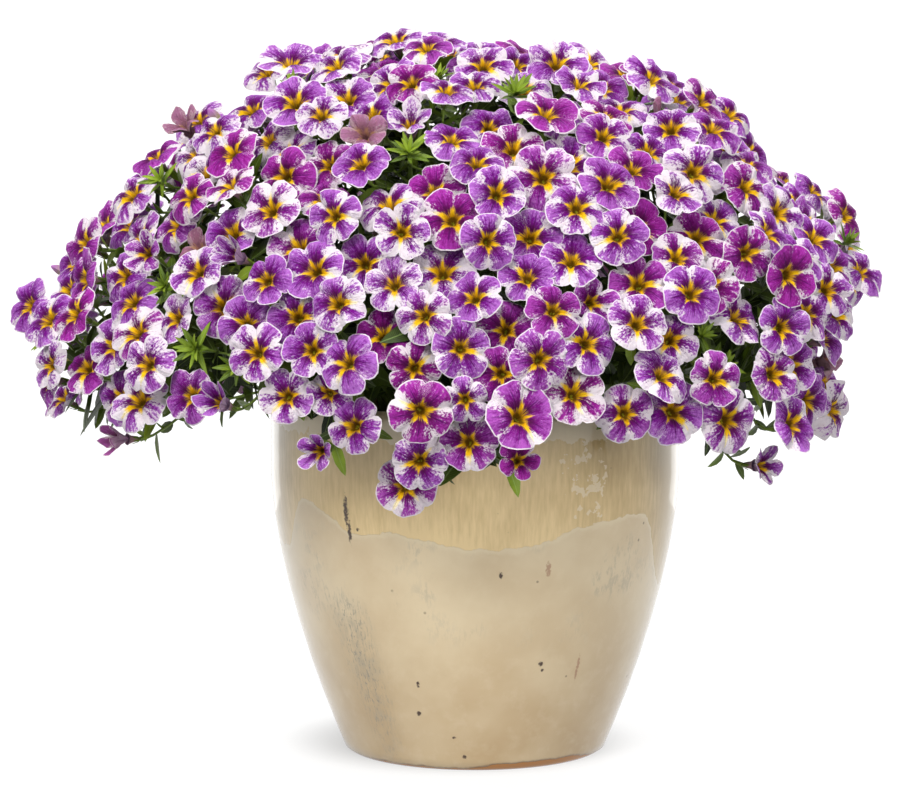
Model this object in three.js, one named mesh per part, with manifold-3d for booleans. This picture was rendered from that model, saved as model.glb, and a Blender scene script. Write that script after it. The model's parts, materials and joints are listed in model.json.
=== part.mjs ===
// A calibrachoa in flower, grown in a glazed stoneware pot.
// Millimetres, +Z up. The origin is on the floor, on the pot's axis. Compass angles run
// counter-clockwise from +X as seen from above, so -90 degrees is the front of the plant.

import * as THREE from "three";
import { mergeVertices } from "three/addons/utils/BufferGeometryUtils.js";
import Module from "manifold-3d";

const wasm = await Module();
wasm.setup();

// ---------------------------------------------------------------- driving dimensions
const SEED = 7;

// The pot: a wall that swells from the foot to the belly and stands straight above it.
const POT_HEIGHT = 190;
const POT_SIDES = 32;
const FOOT_RADIUS = 69;
const FOOT_BEVEL = 1.5;
const BELLY_RADIUS = 108.5;
const BELLY_HEIGHT = 150;
const SWELL_POWER = 1.62;
const WALL = 9;
const POT_FLOOR = 12;
const LIP_RADIUS = WALL / 2;
const LIP_STEPS = [0, 60, 120];
const OUTER_LEVELS = [22, 50, 82, 116];
const INNER_LEVELS = [80];

// The soil and the holes that the stems stand in.
const SOIL_EDGE_HEIGHT = 170;
const SOIL_CROWN = 4;
const CLEARANCE = 0.3;
const STEM_DEPTH = 16;
const HOLE_MARGIN = 0.7;

// The mound of flowers: how far it reaches from its heart, the crown of the plant.
const HEART_HEIGHT = 172;
const MOUND_RADIUS = 210;
const BOUGHS = [
  { compass: 180, elevation: 16, width: 40, height: 12, rise: 34 },
  { compass: 180, elevation: 40, width: 45, height: 14, rise: 12 },
  { compass: 180, elevation: 64, width: 70, height: 8, rise: 7 },
  { compass: 0, elevation: 27, width: 35, height: 9, rise: 23 },
  { compass: 0, elevation: 13, width: 40, height: 6, rise: -26 },
  { compass: 0, elevation: -2, width: 40, height: 8, rise: -11 },
  { compass: 0, elevation: 39, width: 35, height: 6, rise: -5 },
  { compass: 0, elevation: 54, width: 40, height: 8, rise: 5 },
  { compass: 0, elevation: 80, width: 90, height: 12, rise: -14 },
  { compass: 90, elevation: 25, width: 40, height: 18, rise: 8 },
];
const SKIRT_START = 4;
const SKIRT_DRAW = 2.8;

// How low the flowers hang, as an elevation from the heart.
const HANG_BASE = 10;
const HANGS = [
  { compass: -5, width: 25, drop: 7 },
  { compass: 180, width: 24, drop: 8 },
  { compass: 90, width: 60, drop: 12 },
];
const LOWEST_ELEVATION = -12;

// The flowers that hang one by one below the front of the mound.
const FRINGE = [
  { compass: -153, elevation: 1, kind: "halfOpen" },
  { compass: -150, elevation: 7, kind: "open" },
  { compass: -142, elevation: 7.5, kind: "open" },
  { compass: -133, elevation: 9, kind: "open" },
  { compass: -126, elevation: 8.5, kind: "halfOpen" },
  { compass: -117, elevation: 10, kind: "open" },
  { compass: -113, elevation: 2.5, kind: "halfOpen" },
  { compass: -107, elevation: 6.5, kind: "open" },
  { compass: -101, elevation: -3, kind: "open" },
  { compass: -98, elevation: 1.5, kind: "open" },
  { compass: -97, elevation: 8.5, kind: "open" },
  { compass: -91, elevation: 4.5, kind: "open" },
  { compass: -84, elevation: 8, kind: "open" },
  { compass: -84, elevation: 2, kind: "halfOpen" },
  { compass: -76, elevation: 11, kind: "open" },
  { compass: -68, elevation: 8, kind: "open" },
  { compass: -60, elevation: 8, kind: "open" },
  { compass: -51, elevation: 6, kind: "open" },
  { compass: -38, elevation: 4.5, kind: "open" },
  { compass: -39, elevation: -2, kind: "halfOpen" },
  { compass: -25, elevation: 6.5, kind: "open" },
];

// Flower places: a golden spiral over the mound, shaken, then spread apart again.
const SITE_COUNT = 545;
const SITE_SHAKE = 6;
const SITE_SPACING = 25.5;
const SPREAD_ROUNDS = 4;

// An open flower. Heights are along its axis, from the plane of its rim.
const LOBE_COUNT = 5;
const FLOWER_RADIUS = [14, 17.6];
const LOBE_SHAKE = 0.05;
const LOBE_WAVE = 1.3;
const LOBE_HEIGHT = -0.5;
const NOTCH_SHARE = 0.69;
const NOTCH_SHAKE = 0.03;
const NOTCH_HEIGHT = -0.9;
const THROAT_DEPTH = 5;
const NECK_DEPTH = 14;
const NECK_RADIUS = 1.3;

// A half-open flower, a leafy shoot's rosette and a closed bud.
const HALF_OPEN_SPREAD = [0.55, 0.85];
const HALF_OPEN_NOTCH = 0.5;
const HALF_OPEN_WAVE = 1;
const ROSETTE_SPREAD = [0.83, 1.07];
const ROSETTE_NOTCH = 0.22;
const ROSETTE_RISE = [1, 5];
const ROSETTE_HEIGHT = 1.6;
const ROSETTE_NECK_DEPTH = 9;
const BUD_RADIUS = 2.7;
const BUD_HALF_LENGTH = 4;

// How a flower may be shifted, tilted and shrunk until it stands clear of the others. All of
// them lean to the light, which comes from the front and above.
const TILT_SPREAD = 15;
const LIGHT = new THREE.Vector3(0, -0.45, 0.15);
const LAYERS = [0, -4.5, -9, -13.5];
const TILT_SHARES = [1, 0.5, 0];
const SHRINKS = [1, 0.94, 0.88, 0.82, 0.76];
const FLOWER_GAP = 0.7;
const HEAD_MARGIN = 0.4;
const FLOWER_REACH = 24;

// Shares of the places that don't hold an open flower.
const HALF_OPEN_SHARE = 0.06;
const BUD_SHARE = 0.03;
const SHOOT_SHARE = 0.05;

// The stems. Each ends in a straight stretch of nodes, and a low one arches over the lip.
const SPRAY_COUNT = 36;
const GROUPING_ROUNDS = 8;
const SOIL_REACH = 78;
const STEM_RADIUS = 2.3;
const STEM_TIP_RADIUS = 1.4;
const STEM_SIDES = 3;
const NODE_SPACING = 9;
const NODE_COUNT = 7;
const FIRST_NODE = 6;
const STEM_STANDOFF = 9;
const ARCH_OUT = 25;
const ARCH_UP = 45;
const ARCH_ELEVATION = 32;
const ARCH_BLEND = 24;

// The flower stalks.
const STALK_RADIUS = 0.7;
const STALK_SLOPE = 0.85;
const FACING_WEIGHT = 25;
const LEAST_FACING = 0.2;
const NEAREST_SPRAYS = 4;

// The leaves.
const LEAVES_PER_SPRAY = 5;
const LEAF_TRIES = 14;
const LEAF_LENGTH = [22, 31];
const LEAF_HALF_WIDTH = 3.9;
const LEAF_KEEL = 1.1;
const LEAF_WIDEST = 0.45;
const LEAF_DROOP = 0.08;
const LEAF_SWING = 0.5;
const LEAF_RISE = [0.1, 0.8];
const LEAF_EDGE = 0.8;

// What is kept free between neighbouring stems, stalks and leaves, and around the pot.
const ROD_GAP = 0.9;
const POT_GAP = 3;

// Colours of the plain materials.
const GLAZE_COLOUR = 0xb9a078;
const SOIL_COLOUR = 0x2e221a;
const PETAL_COLOUR = 0x8a3fb0;

// ---------------------------------------------------------------- numbers and vectors
const WELD = 1e-3;
const NEARLY_UPRIGHT = 0.9;
const RADIANS = Math.PI / 180;
const GOLDEN_ANGLE = 180 * (3 - Math.sqrt(5));

const lerp = (a, b, t) => a + (b - a) * t;
const clamp = (x, low, high) => Math.min(high, Math.max(low, x));
const bump = (x, width) => Math.exp(-((x / width) ** 2));
const turnBetween = (a, b) => ((((a - b) % 360) + 540) % 360) - 180;

// A repeatable stream of numbers from 0 to 1.
function seededRandom(seed) {
  let state = seed >>> 0;
  return () => {
    state = (state + 0x6d2b79f5) >>> 0;
    let t = state;
    t = Math.imul(t ^ (t >>> 15), t | 1);
    t ^= t + Math.imul(t ^ (t >>> 7), t | 61);
    return ((t ^ (t >>> 14)) >>> 0) / 2 ** 32;
  };
}

const random = seededRandom(SEED);
const between = ([low, high]) => lerp(low, high, random());
const either = (size) => size * (2 * random() - 1);

function directionOf(compass, elevation) {
  const a = compass * RADIANS;
  const e = elevation * RADIANS;
  return new THREE.Vector3(
    Math.cos(e) * Math.cos(a),
    Math.cos(e) * Math.sin(a),
    Math.sin(e),
  );
}

const compassOf = (v) => Math.atan2(v.y, v.x) / RADIANS;
const elevationOf = (v) => Math.asin(clamp(v.z / v.length(), -1, 1)) / RADIANS;
const along = (start, way, distance) => start.clone().addScaledVector(way, distance);

// Two unit vectors that make a right-handed frame with the given axis.
function frameAcross(axis) {
  const side = new THREE.Vector3(0, 0, 1);
  if (Math.abs(axis.z) > NEARLY_UPRIGHT) side.set(1, 0, 0);
  const u = side.clone().cross(axis).normalize();
  return [u, axis.clone().cross(u)];
}

// The points of a ring of the given radius about an axis, counter-clockwise.
function ringPoints(centre, [u, v], radius, count, turn) {
  return Array.from({ length: count }, (_, i) => {
    const angle = turn + (2 * Math.PI * i) / count;
    return along(along(centre, u, radius * Math.cos(angle)), v, radius * Math.sin(angle));
  });
}

// ---------------------------------------------------------------- the pot and the soil
const HEART = new THREE.Vector3(0, 0, HEART_HEIGHT);

const outerRadius = (z) =>
  BELLY_RADIUS - (BELLY_RADIUS - FOOT_RADIUS) * Math.max(0, 1 - z / BELLY_HEIGHT) ** SWELL_POWER;

// The inside of the wall, from the lip down to the floor.
const LIP_CENTRE = new THREE.Vector2(BELLY_RADIUS - LIP_RADIUS, POT_HEIGHT - LIP_RADIUS);
const INSIDE = [
  new THREE.Vector2(BELLY_RADIUS - WALL, LIP_CENTRE.y),
  ...INNER_LEVELS.map((z) => new THREE.Vector2(outerRadius(z) - WALL, z)),
  new THREE.Vector2(outerRadius(POT_FLOOR) - WALL, POT_FLOOR),
];

function potProfile() {
  const lip = LIP_STEPS.map((a) =>
    new THREE.Vector2(Math.cos(a * RADIANS), Math.sin(a * RADIANS))
      .multiplyScalar(LIP_RADIUS)
      .add(LIP_CENTRE),
  );
  return [
    new THREE.Vector2(0, 0),
    new THREE.Vector2(FOOT_RADIUS - FOOT_BEVEL, 0),
    new THREE.Vector2(outerRadius(FOOT_BEVEL), FOOT_BEVEL),
    ...OUTER_LEVELS.map((z) => new THREE.Vector2(outerRadius(z), z)),
    new THREE.Vector2(BELLY_RADIUS, BELLY_HEIGHT),
    ...lip,
    ...INSIDE,
    new THREE.Vector2(0, POT_FLOOR),
  ];
}

// The filling stops short of the pot's wall and floor by the clearance.
function soilProfile() {
  const [lip, next] = INSIDE;
  const edge = lip.clone().lerp(next, (lip.y - SOIL_EDGE_HEIGHT) / (lip.y - next.y));
  const side = [edge, ...INSIDE.slice(1)].map((p) => new THREE.Vector2(p.x - CLEARANCE, p.y));
  side[side.length - 1].y += CLEARANCE;
  return [
    new THREE.Vector2(0, POT_FLOOR + CLEARANCE),
    ...side.reverse(),
    new THREE.Vector2(0, SOIL_EDGE_HEIGHT + SOIL_CROWN),
  ];
}

// Turns a profile about the vertical axis.
function turned(profile) {
  const geometry = new THREE.LatheGeometry(profile, POT_SIDES);
  geometry.rotateX(Math.PI / 2);
  return closedGeometry(geometry);
}

// Merges shared corners and drops the empty triangles at a lathe's poles.
function closedGeometry(geometry) {
  geometry.deleteAttribute("normal");
  geometry.deleteAttribute("uv");
  const merged = mergeVertices(geometry, WELD);
  const corners = merged.index.array;
  const kept = [];
  for (let i = 0; i < corners.length; i += 3) {
    const [a, b, c] = corners.slice(i, i + 3);
    if (a !== b && b !== c && c !== a) kept.push(a, b, c);
  }
  merged.setIndex(kept);
  return merged;
}

function solidOf(geometry) {
  return new wasm.Manifold(
    new wasm.Mesh({
      numProp: 3,
      vertProperties: geometry.attributes.position.array,
      triVerts: new Uint32Array(geometry.index.array),
    }),
  );
}

function geometryOf(solid) {
  const mesh = solid.getMesh();
  const geometry = new THREE.BufferGeometry();
  geometry.setAttribute("position", new THREE.BufferAttribute(mesh.vertProperties, mesh.numProp));
  geometry.setIndex(new THREE.BufferAttribute(mesh.triVerts, 1));
  return geometry;
}

// ---------------------------------------------------------------- the mound's outline
// How far the outermost flowers stand from the heart, each way.
function reach(compass, elevation) {
  const drawn = SKIRT_DRAW * Math.max(0, SKIRT_START - elevation);
  return BOUGHS.reduce(
    (sum, b) =>
      sum +
      b.rise *
        bump(turnBetween(compass, b.compass), b.width) *
        bump(elevation - b.elevation, b.height),
    MOUND_RADIUS - drawn,
  );
}

const lowestElevation = (compass) =>
  HANGS.reduce(
    (sum, h) => sum - h.drop * bump(turnBetween(compass, h.compass), h.width),
    HANG_BASE,
  );

const isInMound = (way) => elevationOf(way) >= lowestElevation(compassOf(way));

// Evenly spread ways out of the heart, above the lowest elevation.
function spiralWays(count, lowest) {
  const base = Math.sin(lowest * RADIANS);
  return Array.from({ length: count }, (_, i) => {
    const rise = lerp(base, 1, (i + 0.5) / count);
    return directionOf(i * GOLDEN_ANGLE, Math.asin(rise) / RADIANS);
  });
}

// Each place is shaken on the mound's surface, then close pairs push each other apart. The
// fringe's places are held, and push the others off.
function flowerWays(held) {
  const shaken = spiralWays(SITE_COUNT, LOWEST_ELEVATION).map((way) => {
    const [u, v] = frameAcross(way);
    return along(along(way, u, either(SITE_SHAKE) / MOUND_RADIUS), v, either(SITE_SHAKE) / MOUND_RADIUS)
      .normalize();
  });
  const least = SITE_SPACING / MOUND_RADIUS;
  for (let round = 0; round < SPREAD_ROUNDS; round++) {
    shaken.forEach((a, i) => {
      held.forEach((b) => pushApart(b, a, least, 0));
      shaken.slice(i + 1).forEach((b) => pushApart(a, b, least, 0.5));
    });
  }
  return shaken.filter(isInMound);
}

// Moves two ways apart to the least distance, the first of them by its share of what's short.
function pushApart(a, b, least, share) {
  const apart = b.clone().sub(a);
  const short = least - apart.length();
  if (short <= 0) return;
  apart.setLength(short);
  a.addScaledVector(apart, -share).normalize();
  b.addScaledVector(apart, 1 - share).normalize();
}

// ---------------------------------------------------------------- flowers and shoots
// The rim of a flower is a ring of ten corners, five lobe tips and the five notches between
// them. Each corner has a radius and a height above the rim plane.
function openRim(size) {
  return Array.from({ length: 2 * LOBE_COUNT }, (_, i) =>
    i % 2 === 0
      ? { r: size * (1 + either(LOBE_SHAKE)), h: LOBE_HEIGHT + either(LOBE_WAVE) }
      : { r: size * (NOTCH_SHARE + either(NOTCH_SHAKE)), h: NOTCH_HEIGHT },
  );
}

// A half-open flower holds its lobes forward, as a narrow star.
function halfOpenRim(size) {
  const open = between(HALF_OPEN_SPREAD);
  return Array.from({ length: 2 * LOBE_COUNT }, (_, i) =>
    i % 2 === 0
      ? {
          r: size * (open + either(LOBE_SHAKE)),
          h: size * (HALF_OPEN_SPREAD[1] - open) + either(HALF_OPEN_WAVE),
        }
      : { r: size * HALF_OPEN_NOTCH * open, h: NOTCH_HEIGHT },
  );
}

// A leafy shoot ends in a rosette of five narrow leaves.
function shootRim(size) {
  return Array.from({ length: 2 * LOBE_COUNT }, (_, i) =>
    i % 2 === 0
      ? { r: size * between(ROSETTE_SPREAD), h: between(ROSETTE_RISE) }
      : { r: size * ROSETTE_NOTCH, h: 0 },
  );
}

const KINDS = {
  open: { rim: openRim, throat: -THROAT_DEPTH, neck: -NECK_DEPTH },
  halfOpen: { rim: halfOpenRim, throat: -THROAT_DEPTH, neck: -NECK_DEPTH },
  shoot: { rim: shootRim, throat: ROSETTE_HEIGHT, neck: -ROSETTE_NECK_DEPTH },
  bud: { rim: () => null, throat: 0, neck: -NECK_DEPTH },
};

function pickKind() {
  const draw = random();
  if (draw < HALF_OPEN_SHARE) return "halfOpen";
  if (draw < HALF_OPEN_SHARE + BUD_SHARE) return "bud";
  if (draw < HALF_OPEN_SHARE + BUD_SHARE + SHOOT_SHARE) return "shoot";
  return "open";
}

// What one place on the mound will hold, before its layer and tilt are settled.
function drawSite(way, kind) {
  const size = between(FLOWER_RADIUS);
  return {
    way,
    kind,
    size,
    rim: KINDS[kind].rim(size),
    spin: random() * 2 * Math.PI,
    tiltWay: random() * 2 * Math.PI,
    tilt: TILT_SPREAD * Math.sqrt(random()),
    firstLayer: Math.floor(random() * LAYERS.length),
  };
}

// Places a site's flower: its rim plane's centre, its axis and its corners.
function shapeFlower(site, layer, tiltShare, shrink) {
  const { way, kind } = site;
  const distance = reach(compassOf(way), elevationOf(way)) + layer;
  const [a, b] = frameAcross(way);
  const lean = Math.tan(site.tilt * tiltShare * RADIANS);
  const axis = along(along(way, a, lean * Math.cos(site.tiltWay)), b, lean * Math.sin(site.tiltWay));
  axis.add(LIGHT).normalize();
  const [u, v] = frameAcross(axis);
  const centre = along(HEART, way, distance);
  const rim =
    site.rim && site.rim.map(({ r, h }, i) => ({ r: r * shrink, h, angle: (i * Math.PI) / LOBE_COUNT }));
  const scale = (site.size * shrink) / FLOWER_RADIUS[1];
  return {
    kind,
    way,
    axis,
    centre,
    u: along(new THREE.Vector3(), u, Math.cos(site.spin)).addScaledVector(v, Math.sin(site.spin)),
    v: along(new THREE.Vector3(), v, Math.cos(site.spin)).addScaledVector(u, -Math.sin(site.spin)),
    rim,
    throat: KINDS[kind].throat * scale,
    neck: KINDS[kind].neck * scale,
  };
}

const neckPoint = (flower) => along(flower.centre, flower.axis, flower.neck);

function flowerPoint(flower, r, angle, h) {
  return along(
    along(along(flower.centre, flower.u, r * Math.cos(angle)), flower.v, r * Math.sin(angle)),
    flower.axis,
    h,
  );
}

// A bud is kept clear of as if it were a small disc.
const BUD_RIM = Array.from({ length: 2 * LOBE_COUNT }, (_, i) => ({
  r: BUD_RADIUS + FLOWER_GAP,
  h: 0,
  angle: (i * Math.PI) / LOBE_COUNT,
}));

const rimOf = (flower) => flower.rim || BUD_RIM;

// Whether a point lies in a flower's body, or within the margin of it. The body is a ring of
// wedges from the axis, between throat and neck, to each edge of the rim.
function touchesFlower(flower, point, margin) {
  const d = point.clone().sub(flower.centre);
  if (d.length() > FLOWER_REACH) return false;
  const x = d.dot(flower.u);
  const y = d.dot(flower.v);
  const h = d.dot(flower.axis);
  const rho = Math.hypot(x, y);
  const rim = rimOf(flower);
  const count = rim.length;
  const angle = (Math.atan2(y, x) + 2 * Math.PI) % (2 * Math.PI);
  const i = Math.min(count - 1, Math.floor((angle * count) / (2 * Math.PI)));
  const p = rim[i];
  const q = rim[(i + 1) % count];
  const px = p.r * Math.cos(p.angle);
  const py = p.r * Math.sin(p.angle);
  const ex = q.r * Math.cos(q.angle) - px;
  const ey = q.r * Math.sin(q.angle) - py;
  const cx = Math.cos(angle);
  const cy = Math.sin(angle);
  const t = clamp((py * cx - px * cy) / (ex * cy - ey * cx), 0, 1);
  const edge = Math.hypot(px + ex * t, py + ey * t);
  const edgeHeight = lerp(p.h, q.h, t);
  if (rho > edge + margin) return false;
  const share = Math.min(1, rho / edge);
  const front = lerp(Math.max(flower.throat, 0.1), edgeHeight, share);
  const back = lerp(flower.neck, edgeHeight, share);
  return h < Math.max(front, edgeHeight) + margin && h > back - margin;
}

// Points along a flower's rim and lobes, which find where it would meet another.
function feelers(flower) {
  const rim = rimOf(flower);
  const points = rim.flatMap((p, i) => {
    const q = rim[(i + 1) % rim.length];
    const a = flowerPoint(flower, p.r, p.angle, p.h);
    const b = flowerPoint(flower, q.r, q.angle, q.h);
    return [a, a.clone().lerp(b, 1 / 3), a.clone().lerp(b, 2 / 3), a.clone().lerp(flower.centre, 0.4)];
  });
  return [...points, flower.centre, neckPoint(flower)];
}

// A flower's head as triangles, from the throat and from the neck to each edge of its rim,
// a little larger than it is.
function headPatches(flower) {
  if (!flower.patches) {
    const rim = rimOf(flower);
    const front = flowerPoint(flower, 0, 0, flower.throat + HEAD_MARGIN);
    flower.patches = rim.flatMap((p, i) => {
      const q = rim[(i + 1) % rim.length];
      const neck = flowerPoint(flower, NECK_RADIUS + HEAD_MARGIN, p.angle, flower.neck);
      const a = flowerPoint(flower, p.r + HEAD_MARGIN, p.angle, p.h);
      const b = flowerPoint(flower, q.r + HEAD_MARGIN, q.angle, q.h);
      return [patchOf([a, b, front]), patchOf([a, b, neck])];
    });
  }
  return flower.patches;
}

const patchOf = (points, corners = []) => ({
  corners,
  points,
  box: new THREE.Box3().setFromPoints(points),
});

function flowersClear(a, b) {
  if (a.centre.distanceTo(b.centre) > 2 * FLOWER_REACH) return true;
  if (feelers(a).some((p) => touchesFlower(b, p, FLOWER_GAP))) return false;
  if (feelers(b).some((p) => touchesFlower(a, p, FLOWER_GAP))) return false;
  return !headPatches(a).some((p) => headPatches(b).some((q) => patchesCross(p, q)));
}

// Takes the first layer, tilt and size at which the flower stands clear of those placed.
function settleFlower(site, placed) {
  for (const shrink of SHRINKS) {
    for (const tiltShare of TILT_SHARES) {
      for (let i = 0; i < LAYERS.length; i++) {
        const layer = LAYERS[(site.firstLayer + i) % LAYERS.length];
        const flower = shapeFlower(site, layer, tiltShare, shrink);
        if (placed.every((other) => flowersClear(flower, other))) return flower;
      }
    }
  }
  return null;
}

function placeFlowers() {
  const placed = [];
  const held = FRINGE.map(({ compass, elevation }) => directionOf(compass, elevation));
  const sites = [
    ...held.map((way, i) => drawSite(way, FRINGE[i].kind)),
    ...flowerWays(held).map((way) => drawSite(way, pickKind())),
  ];
  for (const site of sites) {
    const flower = settleFlower(site, placed);
    if (flower) placed.push(flower);
  }
  return placed;
}

// ---------------------------------------------------------------- a body that grows
// One closed surface. A stalk or leaf grows out of one of its triangles, so what has grown
// stays one body. Rings run counter-clockwise about the way of growth.
class GrownBody {
  constructor() {
    this.points = [];
    this.faces = new Map();
    this.nextFace = 0;
  }

  addPoint(point) {
    return this.points.push(point) - 1;
  }

  addRing(points) {
    return points.map((p) => this.addPoint(p));
  }

  addFace(a, b, c) {
    this.faces.set(this.nextFace, [a, b, c]);
    return this.nextFace++;
  }

  // Joins two rings of as many corners. Returns the first triangle of each side.
  addSleeve(lower, upper) {
    return lower.map((a, i) => {
      const j = (i + 1) % lower.length;
      this.addFace(a, upper[j], upper[i]);
      return this.addFace(a, lower[j], upper[j]);
    });
  }

  // Joins a ring to one of more corners, each corner going to the nearest by angle.
  addFlare(lower, upper, lowerTurn, upperTurn) {
    const lowerAngle = (i) => lowerTurn + (2 * Math.PI * i) / lower.length;
    const upperAngle = (j) => upperTurn + (2 * Math.PI * j) / upper.length;
    let i = 0;
    let j = 0;
    while (i < lower.length || j < upper.length) {
      const a = lower[i % lower.length];
      const b = upper[j % upper.length];
      const lowerNext = i < lower.length ? (lowerAngle(i) + lowerAngle(i + 1)) / 2 : Infinity;
      const upperNext = j < upper.length ? (upperAngle(j) + upperAngle(j + 1)) / 2 : Infinity;
      if (lowerNext <= upperNext) {
        this.addFace(a, lower[(i + 1) % lower.length], b);
        i++;
      } else {
        this.addFace(a, upper[(j + 1) % upper.length], b);
        j++;
      }
    }
  }

  addFan(ring, apex) {
    ring.forEach((a, i) => this.addFace(a, ring[(i + 1) % ring.length], apex));
  }

  cornersOf(face) {
    return this.faces.get(face).map((i) => this.points[i]);
  }

  centreOf(face) {
    const [a, b, c] = this.cornersOf(face);
    return a.clone().add(b).add(c).divideScalar(3);
  }

  normalOf(face) {
    const [a, b, c] = this.cornersOf(face);
    return b.clone().sub(a).cross(c.clone().sub(a)).normalize();
  }

  // Opens a triangle and returns its corners as the ring that something grows from.
  openFace(face) {
    const ring = this.faces.get(face);
    this.faces.delete(face);
    return ring;
  }

  // Takes a growth step back if what it adds would cross the rest of the body.
  tryGrowing(step) {
    const before = { points: this.points.length, faces: new Map(this.faces), next: this.nextFace };
    step();
    const grown = [...this.faces.keys()].filter((id) => id >= before.next);
    if (!this.crosses(grown)) return true;
    this.points.length = before.points;
    this.faces = before.faces;
    this.nextFace = before.next;
    return false;
  }

  crosses(grown) {
    const patches = new Map(
      [...this.faces].map(([id, corners]) => [id, patchOf(corners.map((i) => this.points[i]), corners)]),
    );
    const all = [...patches.values()];
    return grown.some((id) => all.some((other) => patchesCross(patches.get(id), other)));
  }

  geometry() {
    const geometry = new THREE.BufferGeometry().setFromPoints(this.points);
    geometry.setIndex([...this.faces.values()].flat());
    return geometry;
  }
}

// Whether an edge of one triangle passes through another with which it shares no corner.
function edgesPierce(patch, other) {
  const hit = new THREE.Vector3();
  return patch.points.some((start, i) => {
    const j = (i + 1) % 3;
    if ([i, j].some((k) => other.corners.includes(patch.corners[k]))) return false;
    const way = patch.points[j].clone().sub(start);
    const length = way.length();
    const ray = new THREE.Ray(start, way.divideScalar(length));
    return ray.intersectTriangle(...other.points, false, hit) !== null && hit.distanceTo(start) < length;
  });
}

const patchesCross = (a, b) => a.box.intersectsBox(b.box) && (edgesPierce(a, b) || edgesPierce(b, a));

// The turn at which a ring in the frame (u, v) lies best above the corners below it, both
// seen along the way from one to the other.
function bestTurn(corners, centre, [u, v]) {
  const middle = corners.reduce((sum, p) => sum.add(p), new THREE.Vector3()).divideScalar(corners.length);
  const way = centre.clone().sub(middle).normalize();
  const [x, y] = [u, v].map((d) => along(d, way, -d.dot(way)));
  let c = 0;
  let s = 0;
  corners.forEach((p, i) => {
    const d = p.clone().sub(middle);
    const step = (2 * Math.PI * i) / corners.length;
    c += d.dot(x) * Math.cos(step) + d.dot(y) * Math.sin(step);
    s += d.dot(y) * Math.cos(step) - d.dot(x) * Math.sin(step);
  });
  return Math.atan2(s, c);
}

// Grows a flower, bud or shoot on the ring that its stalk starts from.
function growFlower(body, ring, flower) {
  const frame = [flower.u, flower.v];
  const corners = ring.map((i) => body.points[i]);
  const turn = bestTurn(corners, neckPoint(flower), frame);
  const neck = body.addRing(ringPoints(neckPoint(flower), frame, NECK_RADIUS, STEM_SIDES, turn));
  body.addSleeve(ring, neck);
  if (!flower.rim) {
    const middle = along(flower.centre, flower.axis, -BUD_HALF_LENGTH);
    const bulge = body.addRing(ringPoints(middle, frame, BUD_RADIUS, STEM_SIDES, turn));
    body.addSleeve(neck, bulge);
    body.addFan(bulge, body.addPoint(along(flower.centre, flower.axis, BUD_HALF_LENGTH)));
    return;
  }
  const rim = body.addRing(flower.rim.map((p) => flowerPoint(flower, p.r, p.angle, p.h)));
  const step = Math.PI / LOBE_COUNT;
  const nearest = Math.round(turn / step);
  const turnedRim = rim.map((_, i) => rim[(((i + nearest) % rim.length) + rim.length) % rim.length]);
  body.addFlare(neck, turnedRim, turn, nearest * step);
  body.addFan(turnedRim, body.addPoint(along(flower.centre, flower.axis, flower.throat)));
}

// ---------------------------------------------------------------- keeping clear
// A rod is a straight stretch of stem, stalk or leaf edge: {from, to, radius}.
function rodsAreNear(a, b) {
  const gap = Math.min(a.from.distanceTo(b.from), a.to.distanceTo(b.to));
  return gap < a.from.distanceTo(a.to) + b.from.distanceTo(b.to) + STEM_RADIUS + ROD_GAP;
}

function rodGap(a, b) {
  const d1 = a.to.clone().sub(a.from);
  const d2 = b.to.clone().sub(b.from);
  const r = a.from.clone().sub(b.from);
  const aa = d1.lengthSq();
  const ee = d2.lengthSq();
  const f = d2.dot(r);
  const c = d1.dot(r);
  const bb = d1.dot(d2);
  const denominator = aa * ee - bb * bb;
  let s = denominator > 1e-9 ? clamp((bb * f - c * ee) / denominator, 0, 1) : 0;
  let t = (bb * s + f) / ee;
  if (t < 0) {
    t = 0;
    s = clamp(-c / aa, 0, 1);
  } else if (t > 1) {
    t = 1;
    s = clamp((bb - c) / aa, 0, 1);
  }
  const gap = along(a.from, d1, s).distanceTo(along(b.from, d2, t));
  return gap - a.radius - b.radius;
}

function rodMeetsFlower(rod, flower) {
  const length = rod.from.distanceTo(rod.to);
  const middle = rod.from.clone().lerp(rod.to, 0.5);
  if (middle.distanceTo(flower.centre) > length / 2 + FLOWER_REACH) return false;
  const steps = Math.ceil(length / 2);
  for (let i = 0; i <= steps; i++) {
    const point = rod.from.clone().lerp(rod.to, i / steps);
    if (touchesFlower(flower, point, rod.radius + FLOWER_GAP)) return true;
  }
  return false;
}

// Whether a rod would enter the pot's wall or the soil.
function rodMeetsPot(rod) {
  return [0, 0.25, 0.5, 0.75, 1].some((t) => {
    const p = rod.from.clone().lerp(rod.to, t);
    const r = Math.hypot(p.x, p.y);
    const inside = r < BELLY_RADIUS - WALL - POT_GAP;
    if (inside) return p.z < SOIL_EDGE_HEIGHT + SOIL_CROWN + POT_GAP;
    return r < BELLY_RADIUS + POT_GAP && p.z < POT_HEIGHT + POT_GAP;
  });
}

// Everything that has been placed, so that what grows next stays clear of it. A body's own
// stem and stalks don't count, because each growth step is tested against them by itself.
class Surroundings {
  constructor(flowers) {
    this.flowers = flowers;
    this.rods = [];
  }

  isClear(rods, body, ownFlower) {
    const others = this.rods.filter((other) => other.body !== body);
    return rods.every(
      (rod) =>
        !rodMeetsPot(rod) &&
        !this.flowers.some((f) => f !== ownFlower && rodMeetsFlower(rod, f)) &&
        others.every((other) => !rodsAreNear(rod, other) || rodGap(rod, other) > ROD_GAP),
    );
  }

  add(rods, body) {
    this.rods.push(...rods.map((rod) => ({ ...rod, body })));
  }
}

// A stalk's middle and its three edges, from the triangle that it grows from to the neck.
function stalkRods(body, face, neck) {
  return [...body.cornersOf(face), body.centreOf(face)].map((from) => ({
    from,
    to: neck,
    radius: STALK_RADIUS,
  }));
}

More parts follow.
